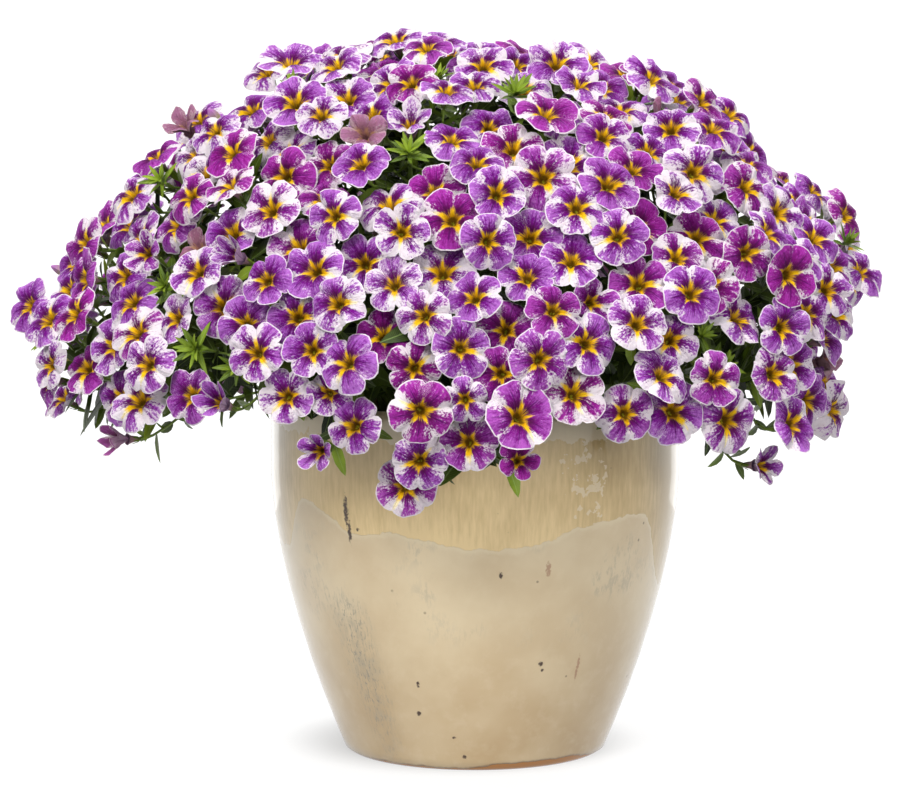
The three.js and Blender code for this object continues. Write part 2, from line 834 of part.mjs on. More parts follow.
// ---------------------------------------------------------------- sprays
// Groups the flowers by the nearest of a set of even ways, which move to their flowers' mean.
function groupFlowers(flowers) {
  let ways = spiralWays(SPRAY_COUNT, 0);
  let groups = [];
  for (let round = 0; round < GROUPING_ROUNDS; round++) {
    groups = ways.map(() => []);
    for (const flower of flowers) {
      const dots = ways.map((w) => w.dot(flower.way));
      groups[dots.indexOf(Math.max(...dots))].push(flower);
    }
    ways = groups.map((g) => g.reduce((sum, f) => sum.add(f.way), new THREE.Vector3()).normalize());
  }
  return groups.map((group, i) => ({ way: ways[i], flowers: group }));
}

// The flower that a spray's stem ends in: the open one nearest to the spray's middle.
function terminalFlower({ way, flowers }) {
  const open = flowers.filter((f) => f.kind === "open");
  return open.reduce((best, f) => (f.way.dot(way) > best.way.dot(way) ? f : best));
}

// On sprays that hang beside the pot the nodes close up, so that the first stands off its wall.
function nodeSpacing(tip, elevation) {
  const beside = (BELLY_RADIUS + STEM_STANDOFF) / Math.cos(elevation * RADIANS);
  const height = HEART_HEIGHT + beside * Math.sin(elevation * RADIANS);
  if (height > POT_HEIGHT + STEM_STANDOFF) return NODE_SPACING;
  return Math.min(NODE_SPACING, (tip.distanceTo(HEART) - FIRST_NODE - beside) / (NODE_COUNT - 1));
}

// The stem's line: straight up out of the soil, in an arch over the lip on low sprays, then
// straight out of the heart to the terminal flower's neck.
function stemLine(terminal) {
  const tip = neckPoint(terminal);
  const outward = tip.clone().sub(HEART).normalize();
  const compass = compassOf(outward);
  const elevation = elevationOf(outward);
  const soilRadius = Math.min(SOIL_REACH, SOIL_REACH * Math.sqrt(1 - Math.sin(elevation * RADIANS)));
  const root = directionOf(compass, 0).multiplyScalar(soilRadius);
  root.z = HEART_HEIGHT + SOIL_CROWN;
  const spacing = nodeSpacing(tip, elevation);
  const nodes = Array.from({ length: NODE_COUNT }, (_, i) =>
    along(tip, outward, -FIRST_NODE - spacing * (NODE_COUNT - 1 - i)),
  );
  const arch = directionOf(compass, 0).multiplyScalar(soilRadius + ARCH_OUT);
  arch.z = POT_HEIGHT + ARCH_UP;
  const straight = root.clone().lerp(nodes[0], 0.5);
  const control = straight.lerp(arch, clamp((ARCH_ELEVATION - elevation) / ARCH_BLEND, 0, 1));
  const curve = new THREE.QuadraticBezierCurve3(root, control, nodes[0]);
  const foot = root.clone();
  foot.z = HEART_HEIGHT - STEM_DEPTH;
  return { foot, root, bends: [curve.getPoint(1 / 3), curve.getPoint(2 / 3)], nodes };
}

// Builds the stem's rings and returns what can be grown from: its sides and its end. The
// stretch with the nodes is one straight, untwisted prism, so that what grows out of one of
// its sides can't meet another side.
function growStem(body, { foot, root, bends, nodes }) {
  const line = [foot, root, ...bends, ...nodes];
  const upward = new THREE.Vector3(0, 0, 1);
  const outward = nodes[1].clone().sub(nodes[0]).normalize();
  const firstNode = line.length - nodes.length;
  let [u] = frameAcross(upward);
  let baseRing = null;
  let lower = null;
  const sides = [];
  line.forEach((point, i) => {
    const bend = () => line[i + 1].clone().sub(line[i - 1]).normalize();
    const tangent = i < 2 ? upward : i < firstNode ? bend() : outward;
    u = u.clone().addScaledVector(tangent, -u.dot(tangent)).normalize();
    const v = tangent.clone().cross(u);
    const radius = lerp(STEM_RADIUS, STEM_TIP_RADIUS, clamp((i - 1) / (line.length - 2), 0, 1));
    const ring = body.addRing(ringPoints(point, [u, v], radius, STEM_SIDES, 0));
    if (lower) {
      const faces = body.addSleeve(lower, ring);
      if (i > firstNode) sides.push(...faces);
    } else {
      baseRing = ring;
      body.addFace(ring[2], ring[1], ring[0]);
    }
    lower = ring;
  });
  const rods = line.slice(1).map((to, i) => ({ from: line[i], to, radius: STEM_RADIUS }));
  return { baseRing, tipRing: lower, sides, rods };
}

// Grows a flower's stalk from the free side of a spray's stem that suits it, stands clear of
// everything else and doesn't cross the spray itself. Returns whether one was found.
function growStalk(spray, flower, around) {
  const { body, stemWay } = spray;
  const neck = neckPoint(flower);
  const neckReach = neck.clone().sub(HEART).dot(stemWay);
  const across = neck.clone().sub(HEART).addScaledVector(stemWay, -neckReach);
  const wanted = neckReach - STALK_SLOPE * across.length();
  across.normalize();
  const choices = spray.sides
    .map((face) => {
      const centre = body.centreOf(face);
      const normal = body.normalOf(face);
      const way = neck.clone().sub(centre).normalize();
      const level = centre.clone().sub(HEART).dot(stemWay);
      return {
        face,
        cost: Math.abs(level - wanted) + FACING_WEIGHT * (1 - normal.dot(across)),
        facing: way.dot(normal),
        fromBehind: way.dot(flower.axis),
        rods: stalkRods(body, face, neck),
      };
    })
    .filter((c) => c.facing > LEAST_FACING && c.fromBehind > LEAST_FACING)
    .sort((a, b) => a.cost - b.cost);
  const choice = choices.find(
    (c) =>
      around.isClear(c.rods, body, flower) &&
      body.tryGrowing(() => growFlower(body, body.openFace(c.face), flower)),
  );
  if (!choice) return false;
  spray.sides.splice(spray.sides.indexOf(choice.face), 1);
  around.add(choice.rods, body);
  return true;
}

// A leaf: a narrow blade with a keel below, from one triangle of the stem to a point.
function leafShape(root, way, upward, length) {
  const across = way.clone().cross(upward).normalize();
  const top = across.clone().cross(way);
  const middle = along(root, way, LEAF_WIDEST * length);
  return {
    ring: [
      along(middle, across, LEAF_HALF_WIDTH),
      along(middle, top, -LEAF_KEEL),
      along(middle, across, -LEAF_HALF_WIDTH),
    ],
    tip: along(along(root, way, length), top, -LEAF_DROOP * length),
  };
}

function leafRods(root, { ring, tip }) {
  const [left, keel, right] = ring;
  return [
    [root, left],
    [root, right],
    [left, tip],
    [right, tip],
    [left, right],
    [keel, tip],
  ].map(([from, to]) => ({ from, to, radius: LEAF_EDGE }));
}

function growLeaves({ body, sides, stemWay }, around) {
  let grown = 0;
  for (let attempt = 0; attempt < LEAF_TRIES && grown < LEAVES_PER_SPRAY && sides.length; attempt++) {
    const face = sides[Math.floor(random() * sides.length)];
    const root = body.centreOf(face);
    const side = stemWay.clone().cross(body.normalOf(face)).normalize();
    const way = along(body.normalOf(face), side, either(LEAF_SWING));
    way.addScaledVector(stemWay, between(LEAF_RISE)).normalize();
    const leaf = leafShape(root, way, stemWay, between(LEAF_LENGTH));
    const rods = leafRods(root, leaf);
    if (!around.isClear(rods, body, null)) continue;
    if (!body.tryGrowing(() => growLeaf(body, body.openFace(face), leaf))) continue;
    around.add(rods, body);
    sides.splice(sides.indexOf(face), 1);
    grown++;
  }
}

function growLeaf(body, ring, leaf) {
  const corners = ring.map((i) => body.points[i]);
  const blade = body.addRing(matchRing(corners, leaf.ring));
  body.addSleeve(ring, blade);
  body.addFan(blade, body.addPoint(leaf.tip));
}

// Turns a ring of three round to the order that lies nearest to the corners below it.
function matchRing(corners, ring) {
  const orders = [0, 1, 2].map((k) => ring.map((_, i) => ring[(i + k) % 3]));
  const spread = (order) => order.reduce((sum, p, i) => sum + p.distanceToSquared(corners[i]), 0);
  return orders.reduce((best, order) => (spread(order) < spread(best) ? order : best));
}

// ---------------------------------------------------------------- assembly
const material = (color, roughness) => new THREE.MeshStandardMaterial({ color, roughness, metalness: 0 });

function meshOf(name, geometry, finish) {
  const mesh = new THREE.Mesh(geometry, finish);
  mesh.name = name;
  return mesh;
}

// The hole that a stem's foot stands in, as a solid to cut from the soil.
function stemHole({ line: { foot, root }, body, baseRing }) {
  const hole = new GrownBody();
  const corners = baseRing.map((i) => body.points[i]);
  const grow = (p, z) => {
    const out = new THREE.Vector3(p.x - foot.x, p.y - foot.y, 0);
    return new THREE.Vector3(foot.x, foot.y, z).addScaledVector(out, 1 + HOLE_MARGIN / STEM_RADIUS);
  };
  const bottom = hole.addRing(corners.map((p) => grow(p, foot.z - CLEARANCE)));
  const top = hole.addRing(corners.map((p) => grow(p, root.z + SOIL_CROWN)));
  hole.addFace(bottom[2], bottom[1], bottom[0]);
  hole.addSleeve(bottom, top);
  hole.addFace(top[0], top[1], top[2]);
  return solidOf(hole.geometry());
}

// Grows every spray: first the stems, then the stalks with their flowers, then the leaves. A
// flower that its own spray can't reach grows from one of the nearest others.
function growSprays() {
  const flowers = placeFlowers();
  const around = new Surroundings(flowers);
  const sprays = groupFlowers(flowers).map((group) => {
    const terminal = terminalFlower(group);
    const body = new GrownBody();
    const line = stemLine(terminal);
    const { baseRing, tipRing, sides, rods } = growStem(body, line);
    around.add(rods, body);
    growFlower(body, tipRing, terminal);
    const stemWay = neckPoint(terminal).sub(HEART).normalize();
    return { flowers: group.flowers, terminal, body, line, stemWay, baseRing, sides };
  });
  const missed = [];
  for (const spray of sprays) {
    const off = (f) => f.way.distanceTo(spray.stemWay);
    const others = spray.flowers.filter((f) => f !== spray.terminal);
    others.sort((a, b) => off(a) - off(b));
    missed.push(...others.filter((flower) => !growStalk(spray, flower, around)));
  }
  for (const flower of missed) {
    const nearest = [...sprays].sort((a, b) => b.stemWay.dot(flower.way) - a.stemWay.dot(flower.way));
    nearest.slice(0, NEAREST_SPRAYS).some((spray) => growStalk(spray, flower, around));
  }
  sprays.forEach((spray) => growLeaves(spray, around));
  return sprays;
}

const sprays = growSprays();
const holes = sprays.map(stemHole);
const soil = holes.reduce((sum, hole) => sum.subtract(hole), solidOf(turned(soilProfile())));

const calibrachoa = new THREE.Group();
calibrachoa.add(meshOf("pot", turned(potProfile()), material(GLAZE_COLOUR, 0.22)));
calibrachoa.add(meshOf("soil", geometryOf(soil), material(SOIL_COLOUR, 0.95)));
sprays.forEach(({ body }, i) => {
  const name = "spray_" + String(i + 1).padStart(2, "0");
  calibrachoa.add(meshOf(name, body.geometry(), material(PETAL_COLOUR, 0.6)));
});

export default calibrachoa;
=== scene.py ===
"""A calibrachoa in full bloom in its glazed stoneware pot.

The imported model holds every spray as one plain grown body: a stem, its stalks, and the blooms,
buds, shoots and leaves they carry. Each spray is read back from that body and dressed with
finer petals and foliage in the same places. The pot is turned again from a finer profile, and
the potting soil gets its crumbs. Lengths are in metres.
"""

from __future__ import annotations

import json
import logging
import math
from dataclasses import dataclass, field, replace
from enum import Enum

import bpy
import numpy as np
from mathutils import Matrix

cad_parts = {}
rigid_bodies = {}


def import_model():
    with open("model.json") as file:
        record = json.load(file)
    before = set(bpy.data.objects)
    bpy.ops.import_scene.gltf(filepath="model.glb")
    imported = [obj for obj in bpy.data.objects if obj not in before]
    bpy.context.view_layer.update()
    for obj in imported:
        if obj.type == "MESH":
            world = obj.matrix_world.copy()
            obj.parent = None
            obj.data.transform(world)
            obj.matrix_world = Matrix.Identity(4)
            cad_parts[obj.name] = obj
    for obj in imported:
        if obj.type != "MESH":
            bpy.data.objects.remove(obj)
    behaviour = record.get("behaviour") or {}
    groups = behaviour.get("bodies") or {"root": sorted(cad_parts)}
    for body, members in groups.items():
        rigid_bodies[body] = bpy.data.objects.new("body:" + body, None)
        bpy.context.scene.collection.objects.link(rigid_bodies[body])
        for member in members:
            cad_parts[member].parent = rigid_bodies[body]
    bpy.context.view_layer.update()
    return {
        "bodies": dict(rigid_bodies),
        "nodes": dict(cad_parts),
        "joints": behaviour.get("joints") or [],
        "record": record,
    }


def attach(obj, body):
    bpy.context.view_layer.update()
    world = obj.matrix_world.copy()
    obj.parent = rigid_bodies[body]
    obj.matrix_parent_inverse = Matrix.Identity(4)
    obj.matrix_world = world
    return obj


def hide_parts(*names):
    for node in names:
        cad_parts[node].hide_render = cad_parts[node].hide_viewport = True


LOG = logging.getLogger("calibrachoa")
BODY = "root"
MM = 0.001
SEED = 11
LOBES = 5
GOLDEN_ANGLE = math.pi * (3 - math.sqrt(5))

Array = np.ndarray
Material = bpy.types.Material
Piece = bpy.types.Object
Random = np.random.Generator
Pair = tuple[float, float]
Vector3 = tuple[float, float, float]
Colour = tuple[float, float, float, float]


class HeadKind(Enum):
    """What a stalk carries."""

    OPEN = "open bloom"
    HALF_OPEN = "half-open bloom"
    SHOOT = "leafy shoot"
    BUD = "closed bud"


# ---------------------------------------------------------------- colours
def srgb(red: int, green: int, blue: int) -> Colour:
    """Turns a colour as a screen shows it, 0 to 255, into the light values that a shader uses.

    Each channel c becomes ((c + 0.055) / 1.055) ^ 2.4, or c / 12.92 near black.

    Args:
        red: The red channel.
        green: The green channel.
        blue: The blue channel.

    Returns:
        The colour with full alpha.
    """
    shares = np.array([red, green, blue]) / 255
    light = np.where(shares <= 0.04045, shares / 12.92, ((shares + 0.055) / 1.055) ** 2.4)
    return (*(float(c) for c in light), 1.0)


# ---------------------------------------------------------------- shader formulas
class Value:
    """One output of a shader node. Arithmetic on it adds Math nodes."""

    def __init__(self, graph: Graph, socket: bpy.types.NodeSocket) -> None:
        """Keeps the graph that new nodes go to.

        Args:
            graph: The material's graph.
            socket: The output that holds this value.
        """
        self.graph = graph
        self.socket = socket

    def __add__(self, other: Value | float) -> Value:
        """Returns the sum."""
        return self.graph.math("ADD", self, other)

    __radd__ = __add__

    def __sub__(self, other: Value | float) -> Value:
        """Returns the difference."""
        return self.graph.math("SUBTRACT", self, other)

    def __rsub__(self, other: float) -> Value:
        """Returns a number less this value."""
        return self.graph.math("SUBTRACT", other, self)

    def __mul__(self, other: Value | float) -> Value:
        """Returns the product."""
        return self.graph.math("MULTIPLY", self, other)

    __rmul__ = __mul__

    def __truediv__(self, other: Value | float) -> Value:
        """Returns the quotient."""
        return self.graph.math("DIVIDE", self, other)

    def __rtruediv__(self, other: float) -> Value:
        """Returns a number divided by this value."""
        return self.graph.math("DIVIDE", other, self)

    def __pow__(self, power: Value | float) -> Value:
        """Returns this value raised to a power."""
        return self.graph.math("POWER", self, power)

    def __abs__(self) -> Value:
        """Returns the value without its sign."""
        return self.graph.math("ABSOLUTE", self)

    def fraction(self) -> Value:
        """Returns what is left above the next lower whole number."""
        return self.graph.math("FRACT", self)

    def floor(self) -> Value:
        """Returns the next lower whole number."""
        return self.graph.math("FLOOR", self)

    def sine(self) -> Value:
        """Returns the sine."""
        return self.graph.math("SINE", self)

    def larger(self, other: Value | float) -> Value:
        """Returns the larger of two values."""
        return self.graph.math("MAXIMUM", self, other)

    def smaller(self, other: Value | float) -> Value:
        """Returns the smaller of two values."""
        return self.graph.math("MINIMUM", self, other)

    def rise(self, low: Value | float, high: Value | float) -> Value:
        """Returns a smooth step from 0 at low to 1 at high. Low may be the larger of the two."""
        sockets = {"Value": self, "From Min": low, "From Max": high}
        return self.graph.node("ShaderNodeMapRange", {"interpolation_type": "SMOOTHSTEP"}, sockets)


class Graph:
    """The node graph of one material, with its Principled shader ready."""

    MIX_OUTPUT = 2
    MIX_A = 6
    MIX_B = 7

    def __init__(self, name: str, **constants: float | Vector3) -> None:
        """Makes the material and sets what is the same all over the surface.

        Args:
            name: The material's name.
            **constants: Principled sockets by name, with _ for a space.
        """
        self.material = bpy.data.materials.new(name)
        self.material.use_nodes = True
        self.tree = self.material.node_tree
        self.shader = next(n for n in self.tree.nodes if n.type == "BSDF_PRINCIPLED")
        for socket, value in constants.items():
            self.shader.inputs[socket.replace("_", " ")].default_value = value

    def node(
        self,
        kind: str,
        settings: dict[str, object],
        sockets: dict[str | int, object],
        output: str | int = 0,
    ) -> Value:
        """Adds a node.

        Args:
            kind: The node's type.
            settings: Its properties, set first. "stops" are a ramp's (place, colour) pairs.
            sockets: Its inputs by name or number, each a number, a colour, a vector or a Value.
            output: The output to return.

        Returns:
            The chosen output.
        """
        made = self.tree.nodes.new(kind)
        for name, value in settings.items():
            if name == "stops":
                self._set_stops(made.color_ramp, value)
            else:
                setattr(made, name, value)
        for name, value in sockets.items():
            if isinstance(value, Value):
                self.tree.links.new(value.socket, made.inputs[name])
            else:
                made.inputs[name].default_value = value
        return Value(self, made.outputs[output])

    @staticmethod
    def _set_stops(ramp: bpy.types.ColorRamp, stops: list[tuple[float, Colour]]) -> None:
        """Gives a ramp its stops.

        Args:
            ramp: The ramp, with its first two stops in place.
            stops: At least two places with their colours.
        """
        while len(ramp.elements) < len(stops):
            ramp.elements.new(1.0)
        for element, (place, colour) in zip(ramp.elements, stops):
            element.position = place
            element.color = colour

    def math(self, operation: str, *values: Value | float) -> Value:
        """Adds a Math node on one or two values."""
        return self.node("ShaderNodeMath", {"operation": operation}, dict(enumerate(values)))

    def mix(self, share: Value | float, a: Value | Colour, b: Value | Colour) -> Value:
        """Mixes two colours, from a where the share is 0 to b where it is 1."""
        sockets = {0: share, self.MIX_A: a, self.MIX_B: b}
        return self.node("ShaderNodeMix", {"data_type": "RGBA"}, sockets, self.MIX_OUTPUT)

    def ramp(self, place: Value, stops: list[tuple[float, Colour]], bend: str = "LINEAR") -> Value:
        """Reads a colour off a ramp.

        Args:
            place: Where to read, from 0 to 1.
            stops: The ramp's places and colours.
            bend: How colours run from stop to stop.

        Returns:
            The colour.
        """
        value = self.node("ShaderNodeValToRGB", {"stops": stops}, {0: place})
        value.socket.node.color_ramp.interpolation = bend
        return value

    def parts(self, vector: Value) -> tuple[Value, Value, Value]:
        """Takes a vector apart.

        Args:
            vector: The vector.

        Returns:
            Its x, y and z.
        """
        first = self.node("ShaderNodeSeparateXYZ", {}, {0: vector})
        outputs = first.socket.node.outputs
        return first, Value(self, outputs[1]), Value(self, outputs[2])

    def vector(self, x: Value | float, y: Value | float, z: Value | float) -> Value:
        """Puts a vector together."""
        return self.node("ShaderNodeCombineXYZ", {}, {0: x, 1: y, 2: z})

    def attribute(self, name: str) -> tuple[Value, Value, Value]:
        """Reads a vector attribute of the piece as three numbers."""
        return self.parts(self.node("ShaderNodeAttribute", {"attribute_name": name}, {}, "Vector"))

    def position(self) -> Value:
        """Reads the place on the object, in metres."""
        return self.node("ShaderNodeTexCoord", {}, {}, "Object")

    def noise(self, place: Value, scale: float, detail: float = 2.0, rough: float = 0.5) -> Value:
        """Adds noise from 0 to 1, of scale clouds to a unit of length, with finer layers."""
        sockets = {"Vector": place, "Scale": scale, "Detail": detail, "Roughness": rough}
        return self.node("ShaderNodeTexNoise", {}, sockets)

    def link(self, value: Value, socket: str) -> None:
        """Feeds one of the shader's sockets."""
        self.tree.links.new(value.socket, self.shader.inputs[socket])

    def finish(
        self, colour: Value, roughness: Value | None, height: Value | None, depth: float
    ) -> Material:
        """Links what varies over the surface.

        Args:
            colour: The base colour.
            roughness: The roughness, or None where it is the same all over.
            height: The relief that the bump follows, or None.
            depth: How deep the relief is, in metres.

        Returns:
            The finished material.
        """
        self.link(colour, "Base Color")
        if roughness is not None:
            self.link(roughness, "Roughness")
        if height is not None:
            sockets = {"Height": height, "Distance": depth}
            self.link(self.node("ShaderNodeBump", {}, sockets), "Normal")
        return self.material


# ---------------------------------------------------------------- meshes
def unit(ways: Array) -> Array:
    """Scales vectors to length 1, along the last axis."""
    return ways / np.maximum(np.linalg.norm(ways, axis=-1, keepdims=True), 1e-12)


def vectors(x: Array | float, y: Array | float, z: Array | float) -> Array:
    """Puts three numbers or arrays together as vectors, along a new last axis."""
    return np.stack(np.broadcast_arrays(x, y, z), axis=-1)


def turns_round(sides: int) -> Array:
    """Returns the angles of evenly spaced points round a circle, in radians."""
    return 2 * np.pi * np.arange(sides) / sides


def turned(radius: Array, turn: Array, level: Array) -> Array:
    """Returns the points (r cos t, r sin t, level) of rings round the upright axis."""
    return vectors(radius * np.cos(turn), radius * np.sin(turn), level)


def spokes(turn: Array, u: Array, v: Array) -> Array:
    """Returns cos(turn) u + sin(turn) v, the ways that stand out round an axis."""
    return np.cos(turn)[..., None] * u + np.sin(turn)[..., None] * v


def column(things: list[object], name: str) -> Array:
    """Collects one field of several things, a row for each."""
    return np.array([getattr(thing, name) for thing in things])


def put(name: str, data: bpy.types.ID) -> Piece:
    """Adds an object to the scene.

    Args:
        name: Its name.
        data: Its mesh, light or camera.

    Returns:
        The object.
    """
    made = bpy.data.objects.new(name, data)
    bpy.context.scene.collection.objects.link(made)
    return made


def stack_faces(rings: int, sides: int) -> tuple[Array, Array]:
    """Works out the faces of a stack of rings that is closed by a pole at each end.

    The points are the first pole, the rings in order, then the last pole. Rings run
    counter-clockwise about the way from the first pole to the last, so faces point out.

    Args:
        rings: How many rings there are.
        sides: How many points each ring has.

    Returns:
        The corners of all faces in a row, and the number of corners of each face.
    """
    turn = np.arange(sides)
    ahead = (turn + 1) % sides
    first = np.stack([np.zeros_like(turn), 1 + ahead, 1 + turn], axis=-1)
    row = 1 + sides * np.arange(rings - 1)[:, None]
    walls = np.stack([row + turn, row + ahead, row + sides + ahead, row + sides + turn], axis=-1)
    top = 1 + sides * (rings - 1)
    last = np.stack([top + turn, top + ahead, np.full_like(turn, top + sides)], axis=-1)
    corners = np.concatenate([first.ravel(), walls.ravel(), last.ravel()])
    sizes = np.concatenate([np.full(sides, 3), np.full(sides * (rings - 1), 4), np.full(sides, 3)])
    return corners, sizes


class Skins:
    """Collects closed skins, each a stack of rings between two poles, into one mesh."""

    def __init__(self) -> None:
        """Starts with no skins."""
        self.points: list[Array] = []
        self.corners: list[Array] = []
        self.sizes: list[Array] = []
        self.marks: dict[str, list[Array]] = {}
        self.count = 0

    def add(self, rings: Array, start: Array, end: Array, **marks: Array) -> None:
        """Adds a batch of skins of one layout.

        Args:
            rings: Points as (skin, ring, side, 3).
            start: Each skin's first pole, (skin, 3).
            end: Each skin's last pole, (skin, 3).
            **marks: Vector attributes that fit (skin, ring, side, 3). A pole takes the mean of
                the ring beside it.
        """
        many, levels, sides, _ = rings.shape
        if not many:
            return
        self.points.append(self._rows(rings, start, end))
        for name, values in marks.items():
            full = np.broadcast_to(values, rings.shape)
            poles = full[:, 0].mean(axis=1), full[:, -1].mean(axis=1)
            self.marks.setdefault(name, []).append(self._rows(full, *poles))
        corners, sizes = stack_faces(levels, sides)
        step = levels * sides + 2
        offsets = self.count + step * np.arange(many)
        self.corners.append((corners + offsets[:, None]).ravel())
        self.sizes.append(np.tile(sizes, many))
        self.count += step * many

    @staticmethod
    def _rows(rings: Array, start: Array, end: Array) -> Array:
        """Lays out each skin as its first pole, its rings and its last pole, row by row."""
        flat = rings.reshape(len(rings), -1, 3)
        return np.concatenate([start[:, None], flat, end[:, None]], axis=1).reshape(-1, 3)

    def piece(self, name: str, material: Material, crease: float) -> Piece:
        """Makes the mesh object.

        Args:
            name: The piece's name.
            material: Its material.
            crease: The angle between faces past which an edge is sharp, in degrees.

        Returns:
            The piece, at the origin.
        """
        points = np.concatenate(self.points).astype(np.float32)
        corners = np.concatenate(self.corners).astype(np.int32)
        sizes = np.concatenate(self.sizes)
        starts = np.concatenate([[0], np.cumsum(sizes)[:-1]]).astype(np.int32)
        mesh = bpy.data.meshes.new(name)
        mesh.vertices.add(len(points))
        mesh.vertices.foreach_set("co", points.ravel())
        mesh.loops.add(len(corners))
        mesh.loops.foreach_set("vertex_index", corners)
        mesh.polygons.add(len(sizes))
        mesh.polygons.foreach_set("loop_start", starts)
        mesh.polygons.foreach_set("use_smooth", np.ones(len(sizes), bool))
        mesh.update(calc_edges=True)
        for mark, values in self.marks.items():
            layer = mesh.attributes.new(mark, "FLOAT_VECTOR", "POINT")
            layer.data.foreach_set("vector", np.concatenate(values).astype(np.float32).ravel())
        mesh.set_sharp_from_angle(angle=math.radians(crease))
        mesh.materials.append(material)
        return put(name, mesh)


def hand_over(piece: Piece, node: str) -> None:
    """Lets a piece stand for a node of the model: hangs it on the body and hides the node.

    Args:
        piece: The piece.
        node: The node that it replaces.
    """
    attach(piece, BODY)
    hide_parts(node)
    LOG.info("%s: %d faces", piece.name, len(piece.data.polygons))


def tubes(lines: Array, radii: Array, sides: int) -> Array:
    """Carries a round section along each of several lines.

    The section at each point stands across the line's way there. Its first direction is the
    way's cross product with one reference per line, the axis most nearly across that line.

    Args:
        lines: Points as (line, point, 3).
        radii: Radii that fit (line, point).
        sides: Corners of the section.

    Returns:
        Rings as (line, point, side, 3).
    """
    ways = unit(np.gradient(lines, axis=1))
    span = np.abs(lines[:, -1] - lines[:, 0])
    reference = np.eye(3)[np.argmin(span, axis=1)][:, None]
    across = unit(np.cross(ways, reference))
    upward = np.cross(ways, across)
    reach = np.broadcast_to(radii, lines.shape[:2])[..., None, None]
    section = spokes(turns_round(sides), across[:, :, None], upward[:, :, None])
    return lines[:, :, None] + reach * section


def bezier(corners: Array, steps: int) -> Array:
    """Draws cubic curves: B(t) = (1-t)^3 a + 3(1-t)^2 t b + 3(1-t) t^2 c + t^3 d.

    Args:
        corners: The four control points as (curve, 4, 3).
        steps: How many points to draw.

    Returns:
        Points as (curve, step, 3).
    """
    t = np.linspace(0, 1, steps)
    weights = np.stack([(1 - t) ** 3, 3 * (1 - t) ** 2 * t, 3 * (1 - t) * t**2, t**3], axis=-1)
    return np.einsum("sk,ckx->csx", weights, corners)


def smooth_line(points: Array, steps: int) -> Array:
    """Draws a line through points: each stretch is a cubic whose ends follow the neighbours.

    Args:
        points: The points, (point, 3).
        steps: Points to draw for each stretch.

    Returns:
        The smooth line, (point, 3).
    """
    slopes = np.gradient(points, axis=0) / 3
    starts, ends = points[:-1], points[1:]
    corners = np.stack([starts, starts + slopes[:-1], ends - slopes[1:], ends], axis=1)
    drawn = bezier(corners, steps + 1)
    return np.concatenate([drawn[:, :-1].reshape(-1, 3), points[-1:]])


def travelled(line: Array) -> Array:
    """Returns how far along a line each of its points lies."""
    return np.concatenate([[0], np.cumsum(np.linalg.norm(np.diff(line, axis=0), axis=1))])


def along_line(line: Array, places: Array) -> tuple[Array, Array]:
    """Returns the line's next point after each distance along it, and its way there."""
    index = np.clip(np.searchsorted(travelled(line), places), 1, len(line) - 1)
    return line[index], unit(line[index] - line[index - 1])


# ---------------------------------------------------------------- reading the grown bodies
@dataclass(frozen=True)
class Head:
    """A bloom, shoot or bud on its stalk.

    The frame's rows are two directions across the bloom and its axis. Radii and rises are
    those of the lobes' tips, and notches those of the rim between a lobe and the next.
    """

    kind: HeadKind
    centre: Array
    frame: Array
    scale: float
    tips: Array
    rises: Array
    notches: Array
    root: Array
    neck: Array

    @property
    def half_open(self) -> bool:
        """Tells whether this is a half-open bloom."""
        return self.kind is HeadKind.HALF_OPEN


def set_in(heads: list[Head], local: Array) -> Array:
    """Turns points in the heads' own frames, (head, ..., 3), into places."""
    middle = column(heads, "centre").reshape(len(heads), *(1,) * (local.ndim - 2), 3)
    return middle + np.einsum("b...k,bkx->b...x", local, column(heads, "frame"))


def leaning(head: Head, lean: Array) -> Head:
    """Leans a head a little about its centre, and its neck follows.

    The axis a goes to b = unit(a + lean). With k = a x b, a vector v goes to
    v + k x v + k x (k x v) / (1 + a.b).

    Args:
        head: The head.
        lean: What is added to its axis.

    Returns:
        The leaning head.
    """
    axis = head.frame[2]
    ahead = unit(axis + lean)
    turn = np.cross(axis, ahead)
    frame = (
        head.frame
        + np.cross(turn, head.frame)
        + np.cross(turn, np.cross(turn, head.frame)) / (1 + axis @ ahead)
    )
    depth = np.linalg.norm(head.centre - head.neck)
    return replace(head, frame=frame, neck=head.centre - depth * frame[2])


@dataclass(frozen=True)
class Blade:
    """A leaf: where it starts, its way, the way its upper face looks, and its length."""

    root: Array
    way: Array
    top: Array
    length: float


@dataclass(frozen=True)
class BodyRules:
    """The layout that every spray's grown body follows, by which its parts are known."""

    weld: float = 0.01 * MM
    rim_points: int = 10
    most_rim_edges: int = 5
    full_radius: float = 17.6 * MM
    open_throat: float = 5 * MM
    open_neck: float = 14 * MM
    shoot_crown: float = 1.6 * MM
    shoot_neck: float = 9 * MM
    bud_half_length: float = 4 * MM
    longest_bud_edge: float = 5.5 * MM
    shoot_notch: float = 0.38
    half_open_notch: float = 0.6


